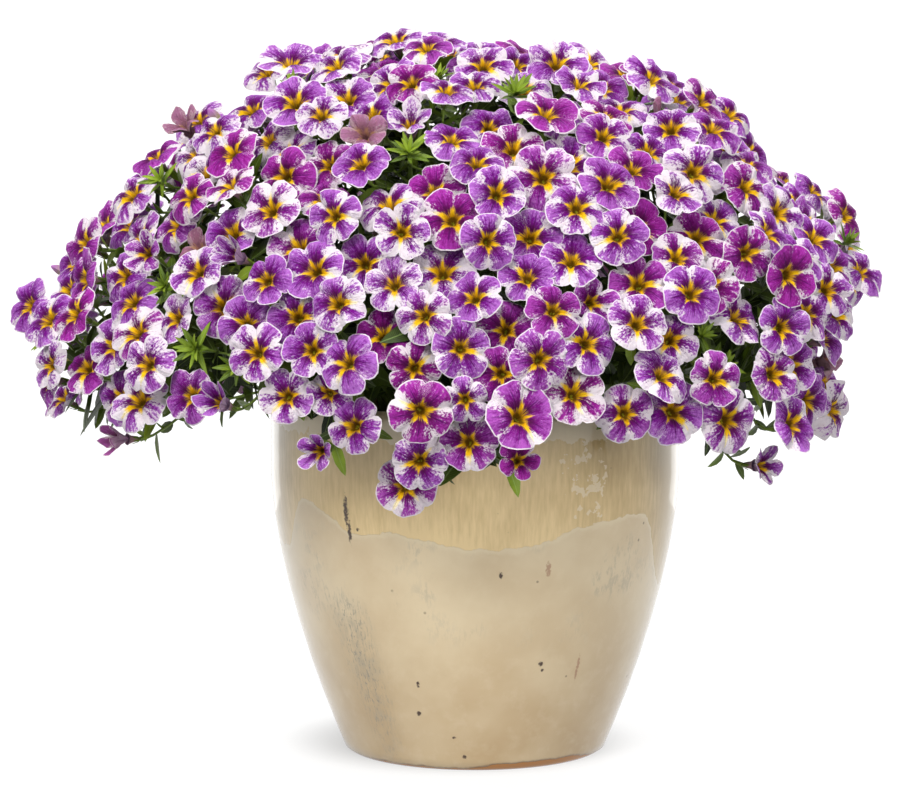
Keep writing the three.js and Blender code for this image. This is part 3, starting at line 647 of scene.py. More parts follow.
class GrownBody:
    """A spray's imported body, read back as a stem, heads and leaves."""

    def __init__(self, node: Piece, rules: BodyRules) -> None:
        """Merges the node's loose triangles and finds its parts.

        Args:
            node: The spray's node.
            rules: How its parts are known.
        """
        self.rules = rules
        mesh = node.data
        loose = np.zeros(3 * len(mesh.vertices), np.float32)
        mesh.vertices.foreach_get("co", loose)
        loose = loose.reshape(-1, 3).astype(float)
        keys = np.round(loose / rules.weld).astype(np.int64)
        _, kept, merged = np.unique(keys, axis=0, return_index=True, return_inverse=True)
        self.points = loose[kept]
        corners = np.zeros(len(mesh.loops), np.int32)
        mesh.loops.foreach_get("vertex_index", corners)
        faces = merged.reshape(-1)[corners].reshape(-1, 3)
        self.beside: list[set[int]] = [set() for _ in self.points]
        for a, b, c in faces.tolist():
            self.beside[a] |= {b, c}
            self.beside[b] |= {a, c}
            self.beside[c] |= {a, b}
        self.used: set[int] = set()
        self.heads = self._blooms()
        self.blades: list[Blade] = []
        self._read_tips()
        self.line = self._stem_line()

    def _around(self, ring: set[int], without: set[int]) -> set[int]:
        """Returns the points beside a ring, without the ring and another set."""
        return set().union(*(self.beside[i] for i in ring)) - ring - without

    def _middle(self, ring: set[int]) -> Array:
        """Returns the mean of a ring's points."""
        return self.points[sorted(ring)].mean(axis=0)

    def _blooms(self) -> list[Head]:
        """Finds the heads with a rim: the hub of ten points that each have few edges.

        Returns:
            The heads.
        """
        rules = self.rules
        heads = []
        for hub, rim in enumerate(self.beside):
            if len(rim) != rules.rim_points:
                continue
            if max(len(self.beside[i]) for i in rim) > rules.most_rim_edges:
                continue
            neck = self._around(rim, {hub})
            root = self._around(neck, rim)
            self.used |= {hub} | rim | neck
            heads.append(self._bloom(hub, sorted(rim), self._middle(neck), self._middle(root)))
        return heads

    def _bloom(self, hub: int, rim: list[int], neck: Array, root: Array) -> Head:
        """Measures a head with a rim.

        Args:
            hub: The point in the middle of its face.
            rim: The points of its rim.
            neck: The middle of the neck.
            root: Where the stalk starts.

        Returns:
            The head.
        """
        rules = self.rules
        apex = self.points[hub]
        depth = float(np.linalg.norm(apex - neck))
        axis = (apex - neck) / depth
        spread = self.points[rim] - neck
        levels = spread @ axis
        spread = spread - levels[:, None] * axis
        u = unit(spread[0])
        v = np.cross(axis, u)
        order = np.argsort(np.arctan2(spread @ v, spread @ u))
        radii = np.linalg.norm(spread, axis=1)[order]
        if radii[0::2].sum() < radii[1::2].sum():
            order = np.roll(order, -1)
            radii = np.roll(radii, -1)
        u = unit(spread[order[0]])
        v = np.cross(axis, u)
        sharpness = radii[1::2].sum() / radii[0::2].sum()
        if sharpness < rules.shoot_notch:
            kind = HeadKind.SHOOT
            scale = depth / (rules.shoot_crown + rules.shoot_neck)
            centre = apex - rules.shoot_crown * scale * axis
        else:
            kind = HeadKind.OPEN if sharpness > rules.half_open_notch else HeadKind.HALF_OPEN
            scale = depth / (rules.open_neck - rules.open_throat)
            centre = apex + rules.open_throat * scale * axis
        rises = levels[order][0::2] - (centre - neck) @ axis
        frame = np.stack([u, v, axis])
        return Head(kind, centre, frame, scale, radii[0::2], rises, radii[1::2], root, neck)

    def _read_tips(self) -> None:
        """Finds the points with three edges: the tips of buds and of leaves."""
        rules = self.rules
        for tip, ring in enumerate(self.beside):
            if len(ring) != 3 or tip in self.used:
                continue
            corners = self.points[sorted(ring)]
            edges = np.linalg.norm(corners - np.roll(corners, -1, axis=0), axis=1)
            below = self._around(ring, {tip})
            self.used |= {tip} | ring
            if edges.max() > rules.longest_bud_edge:
                self.blades.append(self._blade(tip, corners, edges, self._middle(below)))
                continue
            neck = self._middle(below)
            root = self._middle(self._around(below, ring))
            self.used |= below
            self.heads.append(self._bud(self.points[tip], neck, root))

    def _bud(self, tip: Array, neck: Array, root: Array) -> Head:
        """Measures a bud.

        Args:
            tip: Its tip.
            neck: The middle of its neck.
            root: Where its stalk starts.

        Returns:
            The bud.
        """
        rules = self.rules
        axis = unit(tip - neck)
        length = float(np.linalg.norm(tip - neck))
        scale = (length - rules.bud_half_length) / rules.open_neck
        u = unit(np.cross(axis, [0.0, 0.0, 1.0]) + [1e-6, 0.0, 0.0])
        frame = np.stack([u, np.cross(axis, u), axis])
        none = np.zeros(LOBES)
        centre = tip - rules.bud_half_length * axis
        return Head(HeadKind.BUD, centre, frame, scale, none, none, none, root, neck)

    def _blade(self, tip: int, corners: Array, edges: Array, root: Array) -> Blade:
        """Measures a leaf. The longest edge of its ring runs across it, over the keel.

        Args:
            tip: The point at its tip.
            corners: The three points of its ring.
            edges: The lengths of the ring's edges, each from its corner to the next.
            root: Where the leaf starts.

        Returns:
            The leaf.
        """
        widest = int(np.argmax(edges))
        left, right = corners[widest], corners[(widest + 1) % 3]
        keel = corners[(widest + 2) % 3]
        way = self.points[tip] - root
        length = float(np.linalg.norm(way))
        way = way / length
        top = (left + right) / 2 - keel
        top = unit(top - (top @ way) * way)
        return Blade(root, way, top, length)

    def _stem_line(self) -> Array:
        """Follows the stem ring by ring, from its foot in the soil to its last node.

        Returns:
            The middles of its rings, in order.
        """
        left = set(range(len(self.points))) - self.used
        lowest = sorted(left, key=lambda i: self.points[i, 2])[:3]
        ring = set(lowest)
        line = []
        while ring:
            line.append(self._middle(ring))
            left -= ring
            ring = set().union(*(self.beside[i] for i in ring)) & left
        return np.array(line)


# ---------------------------------------------------------------- leaves
@dataclass(frozen=True)
class LeafCut:
    """How finely a leaf is cut: shares of its length, and its section.

    The section runs once round, from the middle of the upper face by the right edge, the
    lower face and the left edge: shares of the half width, then lifts as shares of it.
    """

    stations: tuple[float, ...]
    across: tuple[float, ...]
    lift: tuple[float, ...]


FINE_LEAF = LeafCut(
    stations=(0.05, 0.16, 0.3, 0.46, 0.62, 0.77, 0.89, 0.97),
    across=(0.0, 0.55, 1.0, 0.0, -1.0, -0.55),
    lift=(-0.04, 0.2, 0.22, -0.2, 0.22, 0.2),
)
SMALL_LEAF = LeafCut(
    stations=(0.1, 0.32, 0.6, 0.86),
    across=(0.0, 1.0, 0.0, -1.0),
    lift=(-0.02, 0.24, -0.18, 0.24),
)
SEPAL = LeafCut(stations=(0.25, 0.75), across=(0.0, 1.0, 0.0, -1.0), lift=(0.3, 0.0, -0.3, 0.0))


@dataclass
class LeafBatch:
    """Leaves of one cut: rows of roots, ways, upper sides, lengths, half widths and youth."""

    roots: Array
    ways: Array
    tops: Array
    lengths: Array
    half_widths: Array
    youth: Array
    own_bend: Pair = (0.3, 1.7)
    belly_place: float = 0.8
    belly_power: float = 0.75

    def grow(self, skins: Skins, cut: LeafCut, droop: float, rng: Random) -> None:
        """Adds the leaves as closed blades.

        A point at share t of the length lies on the curve root + way L t - top L droop t^2.
        The half width there is W sin(pi t^place)^power, which is widest short of the middle.

        Args:
            skins: Where the blades go.
            cut: How finely they are cut.
            droop: How far the tip hangs below the leaf's way, as a share of its length.
            rng: Draws each leaf's own bend and tint.
        """
        many = len(self.roots)
        t = np.array(cut.stations)
        bend = droop * rng.uniform(*self.own_bend, many)[:, None]
        tops = unit(self.tops - np.sum(self.tops * self.ways, axis=1, keepdims=True) * self.ways)
        across = np.cross(self.ways, tops)
        level = -bend * t**2
        middle = (
            self.roots[:, None]
            + (self.lengths[:, None] * t)[..., None] * self.ways[:, None]
            + (self.lengths[:, None] * level)[..., None] * tops[:, None]
        )
        width = self.half_widths[:, None] * np.sin(np.pi * t**self.belly_place) ** self.belly_power
        side = (width[..., None] * np.array(cut.across))[..., None] * across[:, None, None]
        lift = (width[..., None] * np.array(cut.lift))[..., None] * tops[:, None, None]
        rings = middle[:, :, None] + side + lift
        ends = (
            self.roots
            + self.lengths[:, None] * self.ways
            - (self.lengths * bend[:, 0])[:, None] * tops
        )
        blade = vectors(np.array(cut.across), t[:, None], 1.0)
        growth = vectors(self.youth, rng.random(many), 0.0)
        skins.add(rings, self.roots, ends, blade=blade, growth=growth[:, None, None])


# ---------------------------------------------------------------- blooms
@dataclass(frozen=True)
class Corolla:
    """The form of a funnel flower with five broad lobes, for one of full size.

    A place on it is given by its share of the way to the edge, and by its turn. The phase runs
    through each lobe from -0.5 at one notch, over 0 on the midrib, to 0.5 at the next. Pairs
    are the ends of what is drawn for each bloom or lobe, except that odds are the two numbers
    of a beta or gamma draw.
    """

    phases: tuple[float, ...] = (-0.5, -0.43, -0.31, -0.16, 0.0, 0.16, 0.31, 0.43)
    back_shares: tuple[float, ...] = (0.15, 0.5, 0.84)
    front_shares: tuple[float, ...] = (0.92, 0.74, 0.53, 0.34, 0.21, 0.1)
    thickness: float = 0.4 * MM
    notch_growth: Pair = (1.08, 1.3)
    shoulder_power: float = 2.3
    shoulder_root: float = 0.58
    dent: Pair = (-0.01, 0.045)
    dent_width: float = 0.1
    ripple: float = 0.022
    rounding: float = 1.5
    slope: float = 2.8 * MM
    pit: float = 5 * MM
    pit_share: float = 0.2
    pillow: float = 1.7 * MM
    groove: float = 0.5 * MM
    groove_width: float = 0.07
    notch_level: float = -1.6 * MM
    ruffle: float = 0.6 * MM
    ruffle_waves: tuple[int, int] = (6, 12)
    cup: Pair = (-2.4 * MM, 1.8 * MM)
    half_open_cup: Pair = (1.5 * MM, 5 * MM)
    swell: Pair = (0.5, 1.7)
    twist: float = 1.1 * MM
    curl_odds: Pair = (1.3, 1.3 * MM)
    least_curl: float = -0.8 * MM
    curl_start: float = 0.55
    tube: tuple[Pair, ...] = (
        (1.25, -13.4), (1.7, -10.5), (2.2, -8.3), (3.0, -6.4),
        (4.0, -4.7),
    )
    tube_sides: int = 8
    tube_end: float = -9.4 * MM
    hue_odds: Pair = (0.8, 1.2)
    streak_odds: Pair = (1.4, 1.4)
    magenta_hue: float = 0.6
    magenta_calm: float = 0.25
    fresh_age: float = 0.9
    half_open_age: float = 0.3
    wedge_spread: float = 0.9

    def turns(self) -> Array:
        """Returns the angle of each point of a ring, in radians."""
        lobes = np.arange(LOBES)[:, None] + np.array(self.phases)
        return lobes.ravel() * 2 * np.pi / LOBES

    def edge(self, tips: Array, notches: Array, rng: Random) -> Array:
        """Works out the edge's radius.

        Between its two notches a lobe rises to its tip as (1 - |2a|^p)^q of the phase a. A
        slight dent at the midrib and a ripple differ from lobe to lobe, and how deep the
        notches are cut differs from bloom to bloom.

        Args:
            tips: Radii of the lobes' tips, (bloom, lobe).
            notches: Radii of the notch after each lobe, (bloom, lobe).
            rng: Draws dents and ripples.

        Returns:
            Radii as (bloom, lobe, phase).
        """
        a = np.array(self.phases)
        cut = rng.uniform(*self.notch_growth, (len(tips), 1, 1))
        before = np.roll(notches, 1, axis=1)[..., None] * cut
        after = notches[..., None] * cut
        low = before * (0.5 - a) + after * (0.5 + a)
        full = (1 - np.abs(2 * a) ** self.shoulder_power) ** self.shoulder_root
        tall = tips[..., None]
        dent = rng.uniform(*self.dent, tips.shape)[..., None] * np.exp(-((a / self.dent_width) ** 2))
        ripple = rng.uniform(-self.ripple, self.ripple, (*tips.shape, len(a))) * full
        return low + (tall - low) * full + tall * (ripple - dent)

    def level(self, share: float, edge_level: Array, form: dict[str, Array]) -> Array:
        """Works out how high the face stands at one share of the way to the edge.

        The face slopes down to the middle as (1 - share)^2 and drops into a bell-shaped pit.
        Each lobe swells between its seams, sinks at its midrib, twists, and curls back at its
        edge. The whole face is cupped by the square of the share, and ruffled by its cube.

        Args:
            share: The share of the way to the edge.
            edge_level: The level of the edge, (bloom, lobe, phase).
            form: Each bloom's scale, cup and ruffle, and each lobe's swell, twist and curl.

        Returns:
            Levels as (bloom, lobe, phase).
        """
        a = np.array(self.phases)
        middle = 4 * share * (1 - share)
        swell = form["swell"] * (self.pillow * np.cos(np.pi * a))
        dip = self.groove * np.exp(-((a / self.groove_width) ** 2))
        twist = form["twist"] * np.sin(2 * np.pi * a) * share**2
        outer = max(0.0, (share - self.curl_start) / (1 - self.curl_start))
        curl = form["curl"] * outer**2 * (1 - 2 * a**2)
        funnel = self.slope * (1 - share) ** 2 + self.pit * math.exp(-((share / self.pit_share) ** 2))
        return (
            edge_level * share**2
            + form["scale"] * ((swell - dip) * middle - funnel)
            + form["cup"] * share**2
            + form["ruffle"] * share**3
            + twist
            - curl
        )

    def _lie(self, heads: list[Head], rng: Random) -> dict[str, Array]:
        """Draws how each bloom is cupped and ruffled, and how each of its lobes lies.

        Args:
            heads: The blooms.
            rng: The draw.

        Returns:
            Each bloom's scale, cup and ruffle, and each lobe's swell, twist and curl.
        """
        many = len(heads)
        waves = rng.integers(*self.ruffle_waves, (many, 1)) * self.turns()
        waves = waves + rng.uniform(0, 2 * np.pi, (many, 1))
        cup = rng.uniform(*self.cup, many)
        cup = np.where(column(heads, "half_open"), rng.uniform(*self.half_open_cup, many), cup)
        lobes = many, LOBES, 1
        return {
            "scale": column(heads, "scale")[:, None, None],
            "cup": cup[:, None, None],
            "ruffle": self.ruffle * np.sin(waves).reshape(many, LOBES, -1),
            "swell": rng.uniform(*self.swell, lobes),
            "twist": rng.normal(0, self.twist, lobes),
            "curl": rng.gamma(*self.curl_odds, lobes) + self.least_curl,
        }

    def grow(self, skins: Skins, heads: list[Head], rng: Random) -> None:
        """Adds the blooms: for each a thin closed face of rings, and the tube behind it.

        A ring at a share of the way lies at share (m + (r - m) share^rounding), where r is the
        edge's radius and m its mean, so rings are rounder towards the middle.

        Args:
            skins: Where they go.
            heads: The open and half-open blooms.
            rng: Draws how the lobes lie, and the colouring.
        """
        many = len(heads)
        radii = self.edge(column(heads, "tips"), column(heads, "notches"), rng)
        form = self._lie(heads, rng)
        low = self.notch_level * form["scale"]
        rises = column(heads, "rises")[..., None]
        edge_level = low + (rises - low) * (1 - (2 * np.array(self.phases)) ** 2)
        mean = radii.mean(axis=(1, 2), keepdims=True)
        shares = np.array([*self.back_shares, 1.0, *self.front_shares])
        front = np.arange(len(shares)) >= len(self.back_shares)
        reach = np.stack([t * (mean + (radii - mean) * t**self.rounding) for t in shares], axis=1)
        level = np.stack([self.level(t, edge_level, form) for t in shares], axis=1)
        reach, level = reach.reshape(many, len(shares), -1), level.reshape(many, len(shares), -1)
        level = level - (~front * self.thickness)[:, None]
        turn = self.turns()
        poles = np.zeros((2, many, 3))
        poles[:, :, 2] = -(self.slope + self.pit) * form["scale"][:, 0, 0]
        poles[0, :, 2] -= self.thickness
        face = turned(shares[:, None], turn, front[:, None].astype(float))
        marks = self._colouring(heads, rng)
        rings = turned(reach, turn, level)
        skins.add(*(set_in(heads, local) for local in (rings, *poles)), face=face, **marks)
        self._grow_tubes(skins, heads, marks)

    def _grow_tubes(self, skins: Skins, heads: list[Head], marks: dict[str, Array]) -> None:
        """Adds the tubes: round rings from the neck out to under the face, open inwards.

        Args:
            skins: Where they go.
            heads: The blooms.
            marks: The blooms' colouring.
        """
        turn = turns_round(self.tube_sides)
        profile = np.array(self.tube) * MM
        radius, height = profile[:, :1], profile[:, 1:]
        scale = column(heads, "scale")
        rings = turned(radius, turn, height) * scale[:, None, None, None]
        ends = np.zeros((2, len(heads), 3))
        ends[0, :, 2] = -BodyRules.open_neck * scale
        ends[1, :, 2] = self.tube_end * scale
        towards_neck = np.linspace(-1, 0, len(profile))[:, None]
        share = radius / BodyRules.full_radius
        face = turned(share, turn, towards_neck)
        skins.add(*(set_in(heads, local) for local in (rings, *ends)), face=face, **marks)

    def _colouring(self, heads: list[Head], rng: Random) -> dict[str, Array]:
        """Draws each bloom's colouring.

        Args:
            heads: The blooms.
            rng: The draw.

        Returns:
            "bloom" holds the hue from violet to magenta, how white-streaked it is, and a seed.
            "wedge" holds the direction of its widest seam, mostly downwards, and its age.
        """
        many = len(heads)
        hue = rng.beta(*self.hue_odds, many)
        calm = self.magenta_calm * (hue > self.magenta_hue)
        streaks = np.clip(rng.beta(*self.streak_odds, many) - calm, 0, 1)
        bloom = vectors(hue, streaks, rng.random(many))
        withers = column(heads, "half_open")
        age = rng.random(many) * np.where(withers, 1.0, self.fresh_age)
        age = age + np.where(withers, self.half_open_age, 0.0)
        down = -column(heads, "frame")[:, :2, 2]
        angle = np.arctan2(down[:, 1], down[:, 0]) + rng.normal(0, self.wedge_spread, many)
        step = 2 * np.pi / LOBES
        seam = (np.round(angle / step - 0.5) + 0.5) * step
        wedge = vectors(np.cos(seam), np.sin(seam), age)
        return {"bloom": bloom[:, None, None], "wedge": wedge[:, None, None]}


@dataclass(frozen=True)
class ClosedBud:
    """A furled bud: a fluted spindle on a slim tube, as (radius, level) pairs in millimetres."""

    profile: tuple[Pair, ...] = (
        (1.2, -13.2), (1.35, -9.5), (1.9, -6.5), (2.6, -3.6),
        (2.5, -1.0), (1.7, 1.4), (0.8, 3.2),
    )
    sides: int = 10
    flute: float = 0.13
    twist: float = 0.09

    def grow(self, skins: Skins, heads: list[Head], rng: Random) -> None:
        """Adds the buds. A ring's radius swells by cos of five times the turn, and it twists.

        Args:
            skins: Where they go.
            heads: The buds.
            rng: Draws their tints.
        """
        many = len(heads)
        profile = np.array(self.profile) * MM
        turn = turns_round(self.sides)
        twisted = turn + self.twist * np.arange(len(profile))[:, None]
        fluted = profile[:, :1] * (1 + self.flute * np.cos(LOBES * turn))
        ring = turned(fluted, twisted, profile[:, 1:])
        placed = set_in(heads, np.broadcast_to(ring, (many, *ring.shape)))
        tips = column(heads, "centre") + BodyRules.bud_half_length * column(heads, "frame")[:, 2]
        along = np.linspace(0, 1, len(profile))[:, None]
        growth = vectors(1.0, rng.random(many), 1.0)[:, None, None]
        skins.add(placed, column(heads, "neck"), tips, blade=vectors(0.0, along, 2.0), growth=growth)


# ---------------------------------------------------------------- finishes
@dataclass(frozen=True)
class PetalPoint:
    """What a petal's colouring reads at one point of a bloom's face.

    share is the share of the way from the middle to the edge, phase the place across the lobe
    from -0.5 at one notch to 0.5 at the next, and away the phase without its sign. The
    distances to the nearest seam and midrib are in shares of the bloom's radius. own_lobe and
    own_seam are the lobe's and the nearest seam's own random numbers. streaky noise is drawn
    out along the lobe, and fine and crinkly noise are even all ways.
    """

    share: Value
    phase: Value
    away: Value
    from_seam: Value
    from_midrib: Value
    own_lobe: Value
    own_seam: Value
    streaky: Value
    fine: Value
    crinkly: Value
    cloud: Value


@dataclass(frozen=True)
class PetalFinish:
    """Petals: deep at the throat and paler outwards, brushed with white, and a golden star."""

    violet: Colour = srgb(108, 2, 124)
    violet_edge: Colour = srgb(170, 102, 190)
    magenta: Colour = srgb(114, 0, 104)
    magenta_edge: Colour = srgb(158, 46, 156)
    vein: Colour = srgb(74, 4, 84)
    shade: Colour = srgb(70, 2, 54)
    white: Colour = srgb(222, 213, 218)
    cream: Colour = srgb(240, 226, 180)
    yellow: Colour = srgb(238, 190, 22)
    gold: Colour = srgb(210, 156, 4)
    olive: Colour = srgb(112, 80, 4)
    stigma: Colour = srgb(176, 168, 46)
    back: Colour = srgb(196, 164, 190)
    tube: Colour = srgb(200, 158, 166)
    neck: Colour = srgb(140, 150, 80)
    faded: Colour = srgb(150, 104, 116)
    relief: float = 2.6 * MM
    star_core: float = 0.195
    star_blur: Pair = (0.1, -0.07)
    arm_power: float = 3.2
    arm_reach: float = 0.18
    own_arm_reach: float = 0.36
    own_arm_power: float = 1.5
    wide_arm_reach: float = 0.12
    seam_reach: float = 0.42
    edge_reach: float = 0.4
    seam_power: float = 1.5
    edge_power: float = 1.8
    vein_waves: float = 34.0
    rib_width: Pair = (0.036, 0.008)
    rim_width: Pair = (0.045, 0.016)
    seam_line: Pair = (0.04, 0.012)

    def material(self) -> Material:
        """Builds the material: deep to pale base, veins, white brushing, and the throat's star.

        Returns:
            The material.
        """
        g = Graph(
            "petal",
            Roughness=0.6,
            Subsurface_Weight=0.03,
            Subsurface_Scale=0.002,
            Specular_IOR_Level=0.1,
        )
        x, y, side = g.attribute("face")
        hue, streaks, seed = g.attribute("bloom")
        wedge_x, wedge_y, age = g.attribute("wedge")
        at = self._point(g, x, y, seed)
        wide = ((x * wedge_x + y * wedge_y) / at.share.larger(0.05)).rise(0.86, 0.985)
        mottle = at.cloud - 0.5 + (at.streaky - 0.5) * 2.6 + (at.fine - 0.5) * 2.8
        spread = (at.share.rise(0.3, 1.05) * 0.9 + mottle * 0.85).larger(0.0).smaller(1.0)
        choice = hue.rise(0.3, 0.9)
        inner = g.mix(choice, self.violet, self.magenta)
        outer = g.mix(choice, self.violet_edge, self.magenta_edge)
        base = self._add_veins(g, g.mix(spread, inner, outer), at)
        base = self._add_white(g, base, at, streaks, wide)
        front = self._add_star(g, base, at, wide)
        rear = self._rear(g, side, hue, at)
        colour = g.mix(side.rise(0.45, 0.55), rear, front)
        colour = g.mix(age.rise(0.93, 0.97) * 0.75, colour, self.faded)
        height = at.crinkly * 0.5 + at.streaky * 0.45 + at.fine * 0.15
        return g.finish(colour, None, height, self.relief)

    @staticmethod
    def _point(g: Graph, x: Value, y: Value, seed: Value) -> PetalPoint:
        """Works out where a point lies on its bloom.

        The five lobes take 2 pi / 5 each, so a seam lies (0.5 - |phase|) 2 pi share / 5 away.
        The lobes are numbered by the whole part of the turn, and the seams by its rounded
        value, where the last seam is also the first.

        Args:
            g: The graph.
            x: The place across the bloom, in shares of its radius.
            y: The place up the bloom.
            seed: The bloom's own number, which shifts its noise.

        Returns:
            The point.
        """
        share = (x * x + y * y) ** 0.5
        turn = g.math("ARCTAN2", y, x) * (LOBES / (2 * math.pi)) + 0.5
        phase = turn.fraction() - 0.5
        away = abs(phase)
        arc = share * (2 * math.pi / LOBES)
        own = seed * 61.0
        seam = (((turn + 0.5).floor() / LOBES).fraction() * LOBES + 0.5).floor()

        def draw(number: Value, shift: float) -> Value:
            """Draws a random number for a whole number."""
            sockets = {"Vector": g.vector(number, seed * 90.0 + shift, 0.0)}
            return g.node("ShaderNodeTexWhiteNoise", {"noise_dimensions": "2D"}, sockets)

        return PetalPoint(
            share=share,
            phase=phase,
            away=away,
            from_seam=(0.5 - away) * arc,
            from_midrib=away * arc,
            own_lobe=draw(turn.floor(), 0.0),
            own_seam=draw(seam, 5.0),
            streaky=g.noise(g.vector(turn * 2.0, share * 0.5, own), 5.0, 3.0, 0.7),
            fine=g.noise(g.vector(x, y, own + 7.0), 13.0, 3.0, 0.7),
            crinkly=g.noise(g.vector(x, y, own + 3.0), 4.5, 2.0, 0.6),
            cloud=g.noise(g.vector(x, y, own), 1.9, 2.0),
        )

    def _add_veins(self, g: Graph, base: Value, at: PetalPoint) -> Value:
        """Draws the midrib, the fine veins that fan out beside it, and the dark lobe base.

        Args:
            g: The graph.
            base: The colour so far.
            at: The point.

        Returns:
            The colour with its veins.
        """
        wave = abs((at.phase * self.vein_waves + at.streaky * 7.0 + at.share * at.phase * 10.0).sine())
        thin = wave.rise(0.6, 0.0) * at.share.rise(0.2, 0.4) * at.share.rise(1.0, 0.55)
        base = g.mix(thin * (at.fine * 1.5).smaller(0.85), base, self.vein)
        rib = (at.from_midrib + (at.fine - 0.5) * 0.03).rise(*self.rib_width)
        rib = rib * at.share.rise(0.95, 0.6)
        base = g.mix(rib * 0.75, base, self.vein)
        shade = at.share.rise(0.62, 0.26) * (at.fine + 0.4) * at.away.rise(0.47, 0.2)
        return g.mix(shade.smaller(0.85), base, self.shade)

    def _add_white(
        self, g: Graph, base: Value, at: PetalPoint, streaks: Value, wide: Value
    ) -> Value:
        """Brushes white in from the edge and along the seams, in streaks that run inwards.

        Nearness to a seam and to the edge, each raised to a power, and streaky noise add up,
        and white shows where the sum is high. Some seams and lobes are whiter than others.

        Args:
            g: The graph.
            base: The colour so far.
            at: The point.
            streaks: How white-streaked the bloom is.
            wide: How near the point is to the widest seam.

        Returns:
            The colour with its white.
        """
        by_seam = (1.0 - at.from_seam / self.seam_reach).larger(0.0) ** self.seam_power
        by_seam = by_seam * at.share.rise(0.2, 0.8)
        by_edge = (1.0 - (1.0 - at.share) / self.edge_reach).larger(0.0) ** self.edge_power
        grain = (at.streaky - 0.5) * 3.7 + (at.fine - 0.5) * 3.6
        amount = (
            by_seam * (at.own_seam * 1.5 + streaks * 0.5 + wide * 0.5)
            + by_edge * (at.own_lobe * 0.34 + streaks * 0.34)
            + grain * (at.share.rise(0.2, 0.7) * 0.4 + 0.1)
            + (at.own_lobe - 0.5) * (streaks * 0.4)
            + (streaks - 0.66) * 0.4
        )
        base = g.mix(amount.rise(0.2, 0.66) * 0.92, base, self.white)
        widest, narrowest = self.rim_width
        rim = (1.0 - at.share).rise(widest, narrowest + at.fine * narrowest)
        line = at.from_seam.rise(*(at.share * width for width in self.seam_line))
        line = line * at.own_seam.rise(0.3, 0.9)
        return g.mix(rim.larger(line * at.share.rise(0.3, 0.6) * 0.8) * 0.88, base, self.white)

    def _add_star(self, g: Graph, base: Value, at: PetalPoint, wide: Value) -> Value:
        """Draws the throat's golden star, olive inside, with an arm along each seam.

        Args:
            g: The graph.
            base: The colour so far.
            at: The point.
            wide: How near the point is to the widest seam.

        Returns:
            The finished front.
        """
        arm = (at.away * 2.0) ** self.arm_power
        own_reach = at.own_seam**self.own_arm_power * self.own_arm_reach
        feather = (at.streaky - 0.5) * (0.45 + wide * 0.6) + (at.fine - 0.5) * 0.14
        reach = self.star_core + arm * (self.arm_reach + own_reach + wide * self.wide_arm_reach)
        reach = reach + wide * 0.08 + feather
        star = at.share.rise(*(reach + blur for blur in self.star_blur))
        place = at.share + (at.fine - 0.5) * 0.16 - wide * 0.06
        stops = [
            (0.0, self.stigma),
            (0.025, self.stigma),
            (0.05, self.olive),
            (0.12, self.olive),
            (0.19, self.gold),
            (0.29, self.yellow),
            (0.38, self.yellow),
            (0.54, self.cream),
        ]
        thread = abs((at.phase * 40.0 + at.fine * 5.0).sine()).rise(0.4, 0.0)
        throat = g.mix(thread * at.share.rise(0.08, 0.18) * 0.5, g.ramp(place, stops), self.olive)
        return g.mix(star, base, throat)

    def _rear(self, g: Graph, side: Value, hue: Value, at: PetalPoint) -> Value:
        """Colours the backs of the lobes, and the tube from under them to its green neck.

        Args:
            g: The graph.
            side: 1 on the front, 0 on the back, and down to -1 at the tube's neck.
            hue: The bloom's hue, from violet to magenta.
            at: The point.

        Returns:
            The colour behind.
        """
        rear = g.mix(hue * 0.4 + 0.1, self.back, self.violet_edge)
        rear = g.mix(at.streaky.rise(0.45, 0.62) * 0.5, rear, self.white)
        rear = g.mix(at.from_midrib.rise(0.05, 0.01) * 0.4, rear, self.vein)
        tube = g.mix(at.streaky.rise(0.5, 0.6) * 0.35, self.tube, self.vein)
        tube = g.mix(side.rise(-0.45, -1.0), tube, self.neck)
        return g.mix(side.rise(-0.001, -0.15), rear, tube)


@dataclass(frozen=True)
class FoliageFinish:
    """Leaves, stalks, stems and buds: dark old leaves, lime young ones, with a pale midrib."""

    old: Colour = srgb(24, 38, 8)
    middling: Colour = srgb(88, 112, 16)
    young: Colour = srgb(150, 174, 42)
    rib: Colour = srgb(150, 180, 96)
    stalk: Colour = srgb(118, 140, 62)
    bud: Colour = srgb(196, 190, 120)
    bud_tip: Colour = srgb(176, 110, 180)
    cloud_scale: float = 240.0
    cell_scale: float = 1500.0
    vein_waves: float = 46.0
    relief: float = 0.2 * MM

    def material(self) -> Material:
        """Builds the material from the place on the blade, its youth and its kind.

        Returns:
            The material.
        """
        g = Graph("foliage", Roughness=0.45, Specular_IOR_Level=0.3)
        across, along, sort = g.attribute("blade")
        youth, seed, _ = g.attribute("growth")
        position = g.position()
        cloud = g.noise(position, self.cloud_scale, 3.0)
        cells = g.noise(position, self.cell_scale, 2.0)
        tone = youth * 0.85 + (seed - 0.5) * 0.25 + (cloud - 0.5) * 0.35 + along * 0.12
        stops = [(0.0, self.old), (0.45, self.middling), (1.0, self.young)]
        leaf = g.ramp(tone, stops)
        leaf = g.mix(abs(across).rise(0.14, 0.02) * 0.45, leaf, self.rib)
        veins = abs((along * self.vein_waves + abs(across) * 9.0).sine()).rise(0.35, 0.0)
        leaf = g.mix(veins * 0.12, leaf, self.rib)
        stalk = g.mix(cloud * 0.6, self.stalk, self.middling)
        bud = g.mix(along.rise(0.35, 0.95), self.bud, self.bud_tip)
        colour = g.mix(sort.rise(0.4, 0.6), stalk, leaf)
        colour = g.mix(sort.rise(1.4, 1.6), colour, bud)
        return g.finish(colour, None, cells * 0.4 - veins * 0.6, self.relief)


